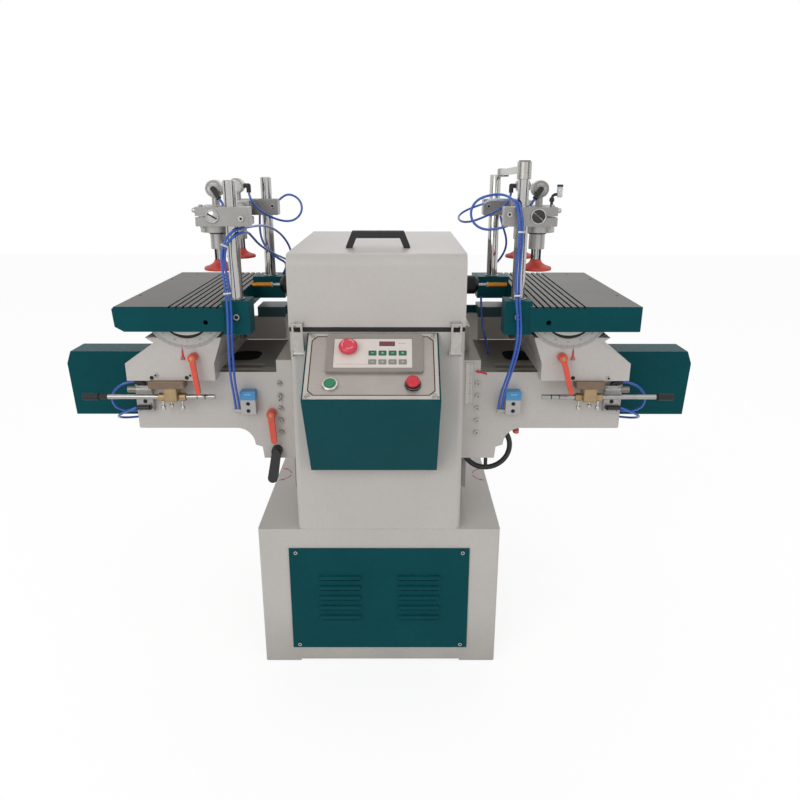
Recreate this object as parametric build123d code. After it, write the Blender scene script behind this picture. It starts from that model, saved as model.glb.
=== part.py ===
from build123d import *
from math import atan2, cos, degrees, hypot, pi, radians, sin, tan
import os

os.makedirs("parts", exist_ok=True)

# Double-end slot mortiser. Millimetres, +Z up. X runs along the spindle, Y runs to the rear.
# The origin is on the floor, at the middle of the base.

# Clearances and overruns
SLIDE_GAP = 0.3
TURN_GAP = 0.05
SEAT_GAP = 0.02
CUT_OVER = 1.0

# Base cabinet
BASE_W = 624.0
BASE_D = 620.0
BASE_H = 402.0
BASE_EDGE_R = 6.0
FOOT_W = 96.0
SKIRT_LIFT = 5.0
ANCHOR_INSET = 42.0
ANCHOR_R = 7.0
ANCHOR_DEPTH = 40.0

# Louvred service panel in the base front
PANEL_W = 470.0
PANEL_Z0 = 44.0
PANEL_Z1 = 347.0
PANEL_T = 3.0
PANEL_LAP = 16.0
BASE_WALL = 6.0
BASE_FLOOR_Z = 46.0
LOUVER_COUNT = 5
LOUVER_PITCH = 30.0
LOUVER_TOP_Z = 259.0
LOUVER_W = 108.0
LOUVER_X = 104.0
LOUVER_R = 9.0
LOUVER_WALL = 1.5
SCREW_R = 4.5
SCREW_HEAD = 3.0
SCREW_INSET_X = 18.0
SCREW_INSET_Z = 11.5

# Column
COL_W = 416.0
COL_TOP_Z = 920.0
COL_REAR_Y = 304.0
COL_EDGE_R = 14.0
COL_WALL = 18.0
WAY_ROOT_W = 130.0
WAY_FLARE = 22.0
WAY_T = 27.0
WAY_Z0 = 440.0
WAY_Z1 = 896.0

# Hood, seal and hinge
SEAL_H = 11.0
SEAL_W = 10.0
HOOD_TOP_Z = 1100.0
HOOD_WALL = 4.0
HOOD_BEND_R = 28.0
HINGE_R = 6.0
HINGE_LEAF_H = 36.0
HINGE_LEAF_T = 3.0
HINGE_W = 80.0
HINGE_X = 130.0
HANDLE_FOOT_X = 80.0
HANDLE_TOP_X = 63.0
HANDLE_H = 41.0
HANDLE_BAR = 17.0
HANDLE_DEPTH = 21.0
HANDLE_Y = -174.0

# Hood latches
LATCH_X = 185.0
LATCH_W = 26.0
LATCH_T = 2.5
LATCH_Z0 = 866.0
LATCH_Z1 = 948.0
LATCH_PIN_R = 3.5
LATCH_OFF = 8.0
LATCH_OPEN_DEG = 14.0
KEEPER_H = 7.0
KEEPER_OUT = 8.0
KEEPER_W = 12.0
KEEPER_PLATE_H = 14.0
KEEPER_PLATE_T = 2.0

# Spindle, its cradle and cutters
SPINDLE_Y = -78.0
SPINDLE_Z = 994.6
SHAFT_R = 12.5
CHUCK_R = 24.0
CHUCK_X0 = 190.0
CHUCK_X1 = 259.0
CHUCK_NOSE = 10.0
SHANK_R = 4.0
SHANK_SEAT = 22.0
SHANK_X1 = 281.0
CUTTER_R = 6.25
CUTTER_X1 = 334.0
FLUTE_R = 3.6
MOTOR_R = 58.0
MOTOR_HALF = 96.0
MOTOR_FIN = 3.0
MOTOR_FINS = 9
BELL_R = 32.0
BELL_L = 54.0
SWING_TRAVEL = 50.0
RAIL_R = 9.0
RAIL_X = 150.0
RAIL_Z = 934.0
RAIL_INSET = 38.0
RAIL_Y1 = 196.0
RAIL_FOOT = 24.0
DECK_T = 12.0
DECK_HALF_X = 182.0
DECK_REACH = 100.0
SLIDER_HALF = 24.0
SLIDER_L = 56.0
CRANK_Y = 120.0
CRANK_R = 66.0
CRANK_T = 10.0
CRANK_PIN_R = 8.0
CRANK_SLACK = 12.0
GEARBOX_W = 100.0
GEARBOX_H = 60.0
GEARMOTOR_R = 42.0
GEARMOTOR_L = 110.0

# Control box: a wedge on the column front, with a sloping panel
BOX_X = -10.0
BOX_W = 308.0
BOX_TOP_Z = 918.0
BOX_LIP_OUT = 165.0
BOX_LIP_Z = 803.0
BOX_FOOT_OUT = 32.0
BOX_FOOT_Z = 581.0
BOX_HEEL_Z = 567.0
BOX_WALL = 3.0
PLATE_W = 301.0
PLATE_H = 194.0
PLATE_T = 2.0
BEZEL_U = 5.7
BEZEL_W = 222.0
BEZEL_H = 113.0
BEZEL_V = 32.0
BEZEL_T = 7.0
PAD_U = 1.7
PAD_W = 180.0
PAD_H = 88.0
PAD_V = 30.6
DISPLAY_U = 33.8
DISPLAY_V = 59.2
DISPLAY_W = 37.0
DISPLAY_H = 15.0
KEY_COUNT = 4
KEY_U = 0.6
KEY_PITCH = 23.0
KEY_W = 17.5
KEY_H = 14.0
KEY_V_TOP = 30.8
KEY_V_LOW = 4.6
KEY_RISE = 0.8
ESTOP_U = -55.0
ESTOP_V = 43.0
ESTOP_R = 22.0
ESTOP_RING_R = 25.0
ESTOP_RISE = 13.0
ESTOP_NECK_R = 12.0
START_U = -92.0
START_V = -57.0
BUTTON_R = 12.5
BUTTON_RING_R = 18.0
BUTTON_RING_T = 6.0
BUTTON_RISE = 3.0
BUTTON_TRAVEL = 4.0
BUTTON_STEM_L = 20.0

# Knee: the arm that carries one table, sliding on the column way
KNEE_Y0 = -230.0
KNEE_Y1 = 124.0
KNEE_BLOCK_X1 = 256.0
KNEE_BLOCK_Z1 = 830.0
KNEE_X1 = 618.0
KNEE_TOP_Z = 799.0
KNEE_ARM_Z0 = 650.0
KNEE_FOOT_Z = 567.0
KNEE_WEB_X = 320.0
KNEE_STEP_X = 302.0
KNEE_STEP_Z = 598.0
KNEE_WEB_T = 50.0
KNEE_FILLET_R = 46.0
KNEE_END_R = 10.0
OIL_GROOVE_W = 5.0
OIL_GROOVE_INSET = 18.0
POCKET_X = 367.0
POCKET_Y = -64.0
POCKET_L = 62.0
POCKET_W = 44.0
POCKET_D = 30.0
TROUGH_X0 = 430.0
TROUGH_W = 56.0
TROUGH_D = 83.0
CORE_WALL = 14.0
CORE_Z1 = 698.0
FEED_ROD_Y = -107.0
FEED_ROD_Z = 745.0
FEED_ROD_R = 8.0
GIB_COUNT = 5
GIB_TOP_Z = 771.0
GIB_PITCH = 33.0
GIB_R = 6.0
GIB_HEAD = 8.0
SCALE_W = 18.0
SCALE_X = 226.0
SCALE_T = 1.0

# End guard over the feed cylinder
GUARD_X1 = 815.0
GUARD_FOOT_X = 808.0
GUARD_CUT = 12.0
GUARD_Z0 = 660.0
GUARD_Z1 = 832.0
GUARD_SHOULDER_Z = 800.0
GUARD_Y0 = -150.0
GUARD_Y1 = -64.0
GUARD_WALL = 2.5
CYL_R = 31.0
CYL_L = 150.0
CYL_WALL = 4.0

# Air valve blocks on the knee front
LIMIT_X = {"right": 319.0, "left": 308.0}
LIMIT_W = 38.0
LIMIT_D = 26.0
LIMIT_Z0 = 695.0
LIMIT_Z1 = 756.0
LIMIT_CAP_H = 23.0
LIMIT_CAP_R = 3.0
SOCKET_R = 4.5
SOCKET_GAP = 9.5
SOCKET_OUT = 6.5
SOCKET_Y = -243.0
SOCKET_Z0 = 697.0
SOCKET_Z1 = 706.0
PORT_R = 5.0
PORT_DEPTH = 8.0
VALVE_X0 = 568.0
VALVE_X1 = 606.0
VALVE_D = 16.0
VALVE_Z0 = 700.0
VALVE_Z1 = 768.0
VALVE_Y = -241.0
SILENCER_X1 = 629.0
SILENCER_Z = 757.0
SILENCER_R = 8.0
VALVE_ELBOW_X0 = 588.0
VALVE_ELBOW_X1 = 610.0
VALVE_ELBOW_Z = 776.0
LOW_ELBOW_X0 = 576.0
LOW_ELBOW_X1 = 608.0
LOW_ELBOW_Y = -251.0
LOW_ELBOW_Z = 712.0
ELBOW_R = 6.0

# Saddle, sliding along the knee towards the cutter
SADDLE_Y0 = -270.0
SADDLE_Y1 = 140.0
SADDLE_X0 = 400.0
SADDLE_DROP = 11.0
SADDLE_SHOULDER_Z = 832.0
SADDLE_NECK_X = 543.0
SADDLE_NECK_Z = 884.0
SADDLE_HORN_Z = 897.0
SADDLE_HORN_X0 = 378.0
SADDLE_HORN_X1 = 562.0
SADDLE_SKIRT_T = 39.0
WING_X0 = 285.0
WING_T = 14.0
WING_Z1 = 868.0
LEDGE_D = 92.0
LEDGE_T = 28.0
LUG_T = 18.0
LUG_W = 36.0
FEED_TRAVEL = 45.0

# Depth stop
ROD_Y = -264.0
ROD_Z = 745.0
ROD_R = 6.0
ROD_X0 = 406.0
ROD_X1 = 696.0
GRIP_R = 9.0
GRIP_L = 38.0
BLOCK_X0 = 509.0
BLOCK_W = 28.0
BLOCK_D = 24.0
BLOCK_Z0 = 716.0
BLOCK_Z1 = 774.0
BOSS_R = 11.0
BOSS_L = 18.0
BAR_X0 = 478.0
BAR_X1 = 580.0
BAR_T = 16.0
WING_SCREW_R = 4.0
WING_SCREW_L = 20.0
WING_KNOB_R = 7.0

# Table and its trunnions
TABLE_X0 = 359.0
TABLE_X1 = 622.0
TABLE_Y0 = -302.0
TABLE_Y1 = 262.0
TABLE_TOP_Z = 978.0
TABLE_T = 60.0
TABLE_CUT_X = 24.0
TABLE_CUT_Z = 12.0
TILT_X = 460.0
TILT_Z = 976.0
TRUNNION_R = 106.0
TRUNNION_T = 26.0
TRUNNION_Y1 = 92.0
TRUNNION_GROOVE_R = 74.0
TRUNNION_GROOVE_W = 9.0
TRUNNION_GROOVE_D = 4.0
SLOT_COUNT = 8
SLOT_X0 = 373.0
SLOT_PITCH = 16.2
SLOT_W = 5.0
SLOT_D = 5.0
WELL_INSET = 26.0
WELL_D = 30.0
WELL_Y0 = -226.0
WELL_Y1 = 70.0
POST_X = 333.0
POST_Y = -270.0
REAR_POST_X = 318.0
REAR_POST_Y = 115.0
POST_R = 15.0
POST_TOP_Z = 1261.0
POST_SEAT = 50.0
BOSS_TOP_Z = 991.0
FRONT_BOSS_X0 = 300.0
FRONT_BOSS_HALF = 30.0
FRONT_BOSS_Z0 = 911.0
REAR_BOSS_X0 = 275.0
REAR_BOSS_HALF = 29.0
REAR_BOSS_Z0 = 930.0
REAR_LEAF_T = 24.0
FENCE_HOLE_R = 6.0
FENCE_HOLE_X = 404.0
FENCE_HOLE_Z = 940.0
FENCE_HOLE_D = 30.0
TIE_H = 12.0
TIE_W = 20.0
TIE_HUB_R = 21.0
TIE_HUB_H = 40.0
TIE_POST_TOP = 41.0

# Clamp frame on the posts
ARM_X0 = 290.0
ARM_X1 = 411.0
ARM_Z = 1181.5
ARM_H = 43.0
ARM_T = 40.0
ARM_SPLIT = 3.0
CROSSBAR_X = 371.0
CROSSBAR_R = 15.5
CROSSBAR_OVER = 2.0
UNIT_Y_FRONT = -200.0
UNIT_Y_REAR = 43.0
UNIT_X = 383.0
UNIT_T = 34.0
DISC_R = 40.0
DISC_Z0 = 1141.0
DISC_H = 18.0
NECK_R = 19.0
NECK_Z0 = 1101.0
HEAD_R = 19.5
HEAD_T = 30.0
HEAD_Z = 1240.0
HEAD_STEM_R = 9.0
HEAD_PORT_X = 352.0
HEAD_PORT_Z = 1222.0
FRONT_PORT = (367.0, -233.0, 1219.0)
RAM_R = 6.0
RAM_TOP_Z = 1156.0
PAD_R = 39.0
PAD_RIM_H = 8.0
PAD_Z0 = 1050.0
PAD_Z1 = 1075.0
PAD_HUB_R = 14.0
PAD_SHOULDER_R = 24.0

# Levers
LEVER_HUB_R = 12.0
LEVER_END_R = 7.0
LEVER_T = 10.0
LEVER_HUB_T = 18.0
TILT_LEVER_X = 447.0
TILT_LEVER_Z = 850.0
TILT_LEVER_L = 98.0
TILT_LEVER_LEAN = 8.0
LOCK_LEVER_X = 272.0
LOCK_LEVER_Z = 692.0
LOCK_LEVER_L = 76.0
LOCK_LEVER_LEAN = 4.0
LIFT_X = 264.0
LIFT_Z = 590.0
LIFT_HUB_R = 14.0
LIFT_L = 72.0
LIFT_END_R = 12.5
LIFT_T = 22.0
LIFT_LEAN = 10.0
WHEEL_X = 286.0
WHEEL_Z = 575.0
WHEEL_R = 70.0
WHEEL_RIM_R = 7.0
WHEEL_Y = -163.0
WHEEL_HUB_R = 14.0
WHEEL_HUB_L = 30.0
WHEEL_SPOKE_R = 5.0
WHEEL_SPOKES = 3
UNDER_LEVER_X = 357.0
UNDER_LEVER_Y = -130.0
UNDER_LEVER_L = 60.0
UNDER_LEVER_T = 10.0
UNDER_HUB_L = 17.0

# Air hose
HOSE_R = 3.0
HOSE_AREA = pi * HOSE_R**2
BEND_SHARE = 0.45

# Values worked out from the ones above
FRONT_Y = -BASE_D / 2
RAIL_Y0 = FRONT_Y + RAIL_INSET
BOX_LIP_Y = FRONT_Y - BOX_LIP_OUT
BOX_FOOT_Y = FRONT_Y - BOX_FOOT_OUT
TROUGH_Z0 = KNEE_TOP_Z - TROUGH_D
SADDLE_Z0 = KNEE_TOP_Z - SADDLE_DROP
COL_X = COL_W / 2
HOOD_Z0 = COL_TOP_Z + SEAL_H
DECK_Z0 = SPINDLE_Z - BELL_R - DECK_T - SEAT_GAP
TABLE_Z0 = TABLE_TOP_Z - TABLE_T
ARM_Z0 = ARM_Z - ARM_H / 2
ARM_Z1 = ARM_Z + ARM_H / 2
KNEE_X0 = COL_X + SLIDE_GAP
SADDLE_X1 = KNEE_X1 - SLIDE_GAP
WAY_Y = (KNEE_Y0 + KNEE_Y1) / 2


def block(x0, x1, y0, y1, z0, z1):
    return Pos((x0 + x1) / 2, (y0 + y1) / 2, (z0 + z1) / 2) * Box(x1 - x0, y1 - y0, z1 - z0)


def rod_x(x0, x1, y, z, r):
    return Pos((x0 + x1) / 2, y, z) * Rot(0, 90, 0) * Cylinder(r, x1 - x0)


def rod_y(x, y0, y1, z, r):
    return Pos(x, (y0 + y1) / 2, z) * Rot(90, 0, 0) * Cylinder(r, y1 - y0)


def rod_z(x, y, z0, z1, r):
    return Pos(x, y, (z0 + z1) / 2) * Cylinder(r, z1 - z0)


def prism_xz(points, y0, y1):
    face = Plane.XZ.offset(-y0) * make_face(Polyline(*points, close=True))
    return extrude(face, y0 - y1)


def prism_yz(points, x0, x1):
    face = Plane.YZ.offset(x0) * make_face(Polyline(*points, close=True))
    return extrude(face, x1 - x0)


def bar_between(a, b, r_a, r_b, y0, y1):
    """A flat bar with round ends in the XZ plane, from radius r_a at a to r_b at b."""
    turn = atan2(b[1] - a[1], b[0] - a[0])
    reach = hypot(b[0] - a[0], b[1] - a[1])
    sides = [(0, -r_a), (reach, -r_b), (reach, r_b), (0, r_a)]
    corners = []
    for along, across in sides:
        x = a[0] + along * cos(turn) - across * sin(turn)
        z = a[1] + along * sin(turn) + across * cos(turn)
        corners.append((x, z))
    ends = rod_y(a[0], y0, y1, a[1], r_a) + rod_y(b[0], y0, y1, b[1], r_b)
    return prism_xz(corners, y0, y1) + ends


def screw_y(x, z, y, out, r=SCREW_R):
    """A round socket head standing out of a face at y by the length out, towards the front."""
    head = rod_y(x, y - out, y, z, r)
    socket = rod_y(x, y - out - CUT_OVER, y - out / 2, z, r / 2)
    return head - socket


def save(shape, name):
    solids = shape.solids()
    whole = Compound(children=list(solids)) if len(solids) > 1 else solids[0]
    export_step(whole, f"parts/{name}.step")


def mirrored(shape):
    return mirror(shape, about=Plane.YZ)


# Base cabinet with feet, anchor holes and a service opening
def base_cabinet():
    body = block(-BASE_W / 2, BASE_W / 2, -BASE_D / 2, BASE_D / 2, 0, BASE_H)
    body = fillet(body.edges().filter_by(Axis.Z), BASE_EDGE_R)
    skirt_w = BASE_W / 2 - FOOT_W
    body -= block(-skirt_w, skirt_w, -BASE_D, BASE_D, -CUT_OVER, SKIRT_LIFT)
    body -= block(-BASE_W, BASE_W, FOOT_W - BASE_D / 2, BASE_D / 2 - FOOT_W, -CUT_OVER, SKIRT_LIFT)
    for sx in (-1, 1):
        for sy in (-1, 1):
            x = sx * (BASE_W / 2 - ANCHOR_INSET)
            y = sy * (BASE_D / 2 - ANCHOR_INSET)
            body -= rod_z(x, y, -CUT_OVER, ANCHOR_DEPTH, ANCHOR_R)
    half = PANEL_W / 2 - PANEL_LAP
    opening = block(-half, half, FRONT_Y - CUT_OVER, FRONT_Y + BASE_WALL + CUT_OVER,
                    PANEL_Z0 + PANEL_LAP, PANEL_Z1 - PANEL_LAP)
    room = block(BASE_WALL - BASE_W / 2, BASE_W / 2 - BASE_WALL, FRONT_Y + BASE_WALL, -FRONT_Y - BASE_WALL,
                 BASE_FLOOR_Z, BASE_H - BASE_WALL)
    return body - opening - room


def louver_panel():
    panel = block(-PANEL_W / 2, PANEL_W / 2, FRONT_Y - PANEL_T, FRONT_Y, PANEL_Z0, PANEL_Z1)
    face_y = FRONT_Y - PANEL_T
    for side in (-1, 1):
        x0 = side * LOUVER_X - LOUVER_W / 2
        x1 = side * LOUVER_X + LOUVER_W / 2
        for step in range(LOUVER_COUNT):
            z = LOUVER_TOP_Z - step * LOUVER_PITCH
            hood = rod_x(x0, x1, face_y, z, LOUVER_R) & block(x0, x1, face_y - LOUVER_R, face_y, z, z + LOUVER_R)
            inner_r = LOUVER_R - LOUVER_WALL
            air = rod_x(x0 + LOUVER_WALL, x1 - LOUVER_WALL, face_y, z, inner_r)
            slot = block(x0 + LOUVER_WALL, x1 - LOUVER_WALL, face_y - CUT_OVER, FRONT_Y + CUT_OVER,
                         z - CUT_OVER, z + inner_r / 2)
            panel = panel + hood - air - slot
    return panel


def cabinet_screws():
    heads = []
    for sx in (-1, 1):
        for z in (PANEL_Z0 + SCREW_INSET_Z, PANEL_Z1 - SCREW_INSET_Z):
            x = sx * (PANEL_W / 2 - SCREW_INSET_X)
            heads.append(screw_y(x, z, FRONT_Y - PANEL_T, SCREW_HEAD))
    inset = SCREW_INSET_Z
    for sx in (-1, 1):
        for sy in (-1, 1):
            u = sx * (PLATE_W / 2 - inset)
            v = sy * (PLATE_H / 2 - inset)
            head = SLOPE * Pos(u, v, PLATE_T + SCREW_HEAD / 2) * Cylinder(SCREW_R, SCREW_HEAD)
            socket = SLOPE * Pos(u, v, PLATE_T + SCREW_HEAD) * Cylinder(SCREW_R / 2, SCREW_HEAD)
            heads.append(head - socket)
    return Compound(children=heads)


# Column with a dovetail way cast on each side and a well for the swing gearmotor
def column():
    body = block(-COL_X, COL_X, FRONT_Y, COL_REAR_Y, BASE_H, COL_TOP_Z)
    body = fillet(body.edges().filter_by(Axis.Z), COL_EDGE_R)
    body += way() + mirrored(way())
    body -= block(COL_WALL - COL_X, COL_X - COL_WALL, FRONT_Y + COL_WALL, COL_REAR_Y - COL_WALL,
                  BASE_H - CUT_OVER, COL_TOP_Z - COL_WALL)
    well = GEARBOX_W / 2 + SEAT_GAP
    body -= block(-well, well, CRANK_Y - well, CRANK_Y + well, COL_TOP_Z - GEARBOX_H, COL_TOP_Z + CUT_OVER)
    for side in (-1, 1):
        x0 = side * LATCH_X - LATCH_W / 2
        x1 = side * LATCH_X + LATCH_W / 2
        ear = LATCH_T + SLIDE_GAP
        reach = LATCH_OFF + LATCH_PIN_R
        pin_z = LATCH_Z0 + LATCH_PIN_R
        z0 = pin_z - 2 * LATCH_PIN_R
        z1 = pin_z + 2 * LATCH_PIN_R
        bracket = block(x0 - ear, x1 + ear, FRONT_Y - reach, FRONT_Y, z0, z1)
        gap = block(x0 - SLIDE_GAP, x1 + SLIDE_GAP, FRONT_Y - reach - CUT_OVER, FRONT_Y - LATCH_T,
                    z0 - CUT_OVER, z1 + CUT_OVER)
        bore = rod_x(x0 - 2 * ear, x1 + 2 * ear, FRONT_Y - LATCH_OFF, pin_z, LATCH_PIN_R / 2 + TURN_GAP)
        body = body + bracket - gap - bore
    return body


def way():
    root = WAY_ROOT_W / 2
    tip = root + WAY_FLARE
    points = [(COL_X - CUT_OVER, -root), (COL_X, -root), (COL_X + WAY_T, -tip), (COL_X + WAY_T, tip),
              (COL_X, root), (COL_X - CUT_OVER, root)]
    outline = [(x, y + WAY_Y) for x, y in points]
    face = Plane.XY.offset(WAY_Z0) * make_face(Polyline(*outline, close=True))
    return extrude(face, WAY_Z1 - WAY_Z0)


def hood_seal():
    outer = block(-COL_X, COL_X, FRONT_Y, COL_REAR_Y, COL_TOP_Z, HOOD_Z0)
    outer = fillet(outer.edges().filter_by(Axis.Z), COL_EDGE_R)
    inner = block(SEAL_W - COL_X, COL_X - SEAL_W, FRONT_Y + SEAL_W, COL_REAR_Y - SEAL_W,
                  COL_TOP_Z - CUT_OVER, HOOD_Z0 + CUT_OVER)
    return outer - inner


# Hood: folded sheet shell, open below, with a notch each side for the chucks
def hood():
    outer = block(-COL_X, COL_X, FRONT_Y, COL_REAR_Y, HOOD_Z0 + SLIDE_GAP, HOOD_TOP_Z)
    bends = outer.edges().filter_by(Axis.X).group_by(Axis.Z)[-1]
    outer = fillet(bends, HOOD_BEND_R)
    inner = block(HOOD_WALL - COL_X, COL_X - HOOD_WALL, FRONT_Y + HOOD_WALL, COL_REAR_Y - HOOD_WALL,
                  HOOD_Z0 - CUT_OVER, HOOD_TOP_Z - HOOD_WALL)
    top = inner.edges().filter_by(Axis.X).group_by(Axis.Z)[-1]
    shell = outer - fillet(top, HOOD_BEND_R - HOOD_WALL)
    room = SWING_TRAVEL + CHUCK_R + HOOD_BEND_R / 2
    notch = block(-COL_W, COL_W, SPINDLE_Y - room, SPINDLE_Y + room, HOOD_Z0 - CUT_OVER,
                  SPINDLE_Z + CHUCK_R + HOOD_BEND_R / 2)
    shell -= notch
    for side in (-1, 1):
        x0 = side * HINGE_X - HINGE_W / 2
        x1 = side * HINGE_X + HINGE_W / 2
        y0 = COL_REAR_Y
        leaf = block(x0, x1, y0, y0 + HINGE_LEAF_T, HOOD_Z0 + SLIDE_GAP, HOOD_Z0 + HINGE_LEAF_H)
        third = HINGE_W / 3
        clear = block(x0 + third - SLIDE_GAP, x1 - third + SLIDE_GAP, y0, y0 + HINGE_LEAF_T,
                      HOOD_Z0, HOOD_Z0 + HINGE_R)
        shell = shell + leaf - clear
        for end in (x0, x1 - third):
            knuckle = rod_x(end, end + third - SLIDE_GAP, HINGE_AXIS_Y, HINGE_AXIS_Z, HINGE_R)
            knuckle += block(end, end + third - SLIDE_GAP, y0, HINGE_AXIS_Y, HINGE_AXIS_Z,
                             HINGE_AXIS_Z + HINGE_LEAF_T)
            knuckle -= rod_x(end - CUT_OVER, end + third, HINGE_AXIS_Y, HINGE_AXIS_Z,
                             HINGE_R / 2 + TURN_GAP)
            shell += knuckle
    return shell


def hood_hinges():
    pieces = []
    for side in (-1, 1):
        x0 = side * HINGE_X - HINGE_W / 2
        x1 = side * HINGE_X + HINGE_W / 2
        third = HINGE_W / 3
        y0 = COL_REAR_Y
        leaf = block(x0, x1, y0, y0 + HINGE_LEAF_T, COL_TOP_Z - HINGE_LEAF_H, COL_TOP_Z)
        knuckle = rod_x(x0 + third, x1 - third, HINGE_AXIS_Y, HINGE_AXIS_Z, HINGE_R)
        web = block(x0 + third, x1 - third, y0 + SLIDE_GAP, HINGE_AXIS_Y, COL_TOP_Z - CUT_OVER, HINGE_AXIS_Z)
        pin = rod_x(x0, x1, HINGE_AXIS_Y, HINGE_AXIS_Z, HINGE_R / 2)
        pieces.append(leaf + knuckle + web + pin)
    return Compound(children=pieces)


HINGE_AXIS_Y = COL_REAR_Y + HINGE_LEAF_T + HINGE_R
HINGE_AXIS_Z = HOOD_Z0


def hood_handle():
    z1 = HOOD_TOP_Z + HANDLE_H
    outer = [(-HANDLE_FOOT_X, HOOD_TOP_Z), (HANDLE_FOOT_X, HOOD_TOP_Z), (HANDLE_TOP_X, z1), (-HANDLE_TOP_X, z1)]
    slope = (HANDLE_FOOT_X - HANDLE_TOP_X) / HANDLE_H
    low = HANDLE_FOOT_X - HANDLE_BAR
    top = low - slope * (HANDLE_H - HANDLE_BAR)
    inner = [(-low - slope, HOOD_TOP_Z - CUT_OVER), (low + slope, HOOD_TOP_Z - CUT_OVER),
             (top, z1 - HANDLE_BAR), (-top, z1 - HANDLE_BAR)]
    y0 = HANDLE_Y - HANDLE_DEPTH / 2
    y1 = HANDLE_Y + HANDLE_DEPTH / 2
    grip = prism_xz(outer, y0, y1) - prism_xz(inner, y0 - CUT_OVER, y1 + CUT_OVER)
    return fillet(grip.edges().filter_by(Axis.Y), HANDLE_BAR / 6)


def latch_keepers():
    pieces = []
    for side in (-1, 1):
        x = side * LATCH_X
        z = LATCH_Z1 - LATCH_W / 3 - KEEPER_H / 2
        z0 = HOOD_Z0 + SLIDE_GAP
        plate = block(x - LATCH_W / 2, x + LATCH_W / 2, FRONT_Y - KEEPER_PLATE_T, FRONT_Y,
                      z0, z0 + KEEPER_PLATE_H)
        hook = block(x - KEEPER_W / 2, x + KEEPER_W / 2, FRONT_Y - KEEPER_OUT, FRONT_Y, z - KEEPER_H / 2,
                     z + KEEPER_H / 2)
        pieces.append(plate + hook)
    return Compound(children=pieces)


def latch(side):
    """A swing latch on a pin, with a window that drops over the keeper, drawn released."""
    x0 = side * LATCH_X - LATCH_W / 2
    x1 = side * LATCH_X + LATCH_W / 2
    pin_y = FRONT_Y - LATCH_OFF
    pin_z = LATCH_Z0 + LATCH_PIN_R
    strap = block(x0, x1, pin_y - LATCH_T / 2, pin_y + LATCH_T / 2, pin_z, LATCH_Z1)
    rim = LATCH_W / 5
    keeper_z = LATCH_Z1 - LATCH_W / 3 - KEEPER_H / 2
    window = block(x0 + rim, x1 - rim, pin_y - LATCH_T, pin_y + LATCH_T,
                   keeper_z - 1.5 * KEEPER_H, keeper_z + KEEPER_H)
    barrel = rod_x(x0, x1, pin_y, pin_z, LATCH_PIN_R)
    ear = LATCH_T + SLIDE_GAP
    pin = rod_x(x0 - ear, x1 + ear, pin_y, pin_z, LATCH_PIN_R / 2)
    shape = strap - window + barrel + pin
    hinge = Axis((0, pin_y, pin_z), (1, 0, 0))
    return shape.rotate(hinge, LATCH_OPEN_DEG)


# Spindle drive inside the hood
def swing_rails():
    pieces = []
    for side in (-1, 1):
        x = side * RAIL_X
        rail = rod_y(x, RAIL_Y0, RAIL_Y1, RAIL_Z, RAIL_R)
        for y in (RAIL_Y0, RAIL_Y1 - RAIL_FOOT):
            rail += block(x - RAIL_FOOT / 2, x + RAIL_FOOT / 2, y, y + RAIL_FOOT, COL_TOP_Z, RAIL_Z + RAIL_R / 2)
        pieces.append(rail)
    return Compound(children=pieces)


def swing_carriage():
    y0 = SPINDLE_Y - DECK_REACH
    y1 = SPINDLE_Y + DECK_REACH
    z1 = DECK_Z0 + DECK_T
    deck = block(-DECK_HALF_X, DECK_HALF_X, y0, y1, DECK_Z0, z1)
    window = MOTOR_R + MOTOR_FIN + SLIDE_GAP
    deck -= block(-MOTOR_HALF - SLIDE_GAP, MOTOR_HALF + SLIDE_GAP, SPINDLE_Y - window, SPINDLE_Y + window,
                  DECK_Z0 - CUT_OVER, z1 + CUT_OVER)
    tongue_half = CRANK_R + CRANK_SLACK
    slot_half = CRANK_PIN_R + CRANK_SLACK
    deck += block(-tongue_half, tongue_half, y1 - CUT_OVER, CRANK_Y + slot_half + CRANK_SLACK, DECK_Z0, z1)
    deck -= block(-slot_half, SWING_TRAVEL + slot_half, CRANK_Y - slot_half, CRANK_Y + slot_half,
                  DECK_Z0 - CUT_OVER, z1 + CUT_OVER)
    for side in (-1, 1):
        for y in (y0, y1 - SLIDER_L):
            x = side * RAIL_X
            deck += block(x - SLIDER_HALF, x + SLIDER_HALF, y, y + SLIDER_L, COL_TOP_Z + 2 * CUT_OVER, DECK_Z0)
        deck -= rod_y(side * RAIL_X, y0 - CUT_OVER, y1 + CUT_OVER, RAIL_Z, RAIL_R + TURN_GAP)
    return deck


def spindle_motor():
    body = rod_x(-MOTOR_HALF, MOTOR_HALF, SPINDLE_Y, SPINDLE_Z, MOTOR_R)
    pitch = 2 * MOTOR_HALF / MOTOR_FINS
    for step in range(MOTOR_FINS):
        x = -MOTOR_HALF + step * pitch + pitch / 4
        body += rod_x(x, x + pitch / 2, SPINDLE_Y, SPINDLE_Z, MOTOR_R + MOTOR_FIN)
    for side in (-1, 1):
        x0 = MOTOR_HALF - CUT_OVER
        x1 = MOTOR_HALF + BELL_L
        bell = rod_x(x0, x1, SPINDLE_Y, SPINDLE_Z, BELL_R)
        bell += block(x0 + MOTOR_FIN, x1, SPINDLE_Y - BELL_R, SPINDLE_Y + BELL_R, DECK_Z0 + DECK_T, SPINDLE_Z)
        body += bell if side > 0 else mirrored(bell)
    far = MOTOR_HALF + BELL_L + CUT_OVER
    return body - rod_x(-far, far, SPINDLE_Y, SPINDLE_Z, SHAFT_R + TURN_GAP)


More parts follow.
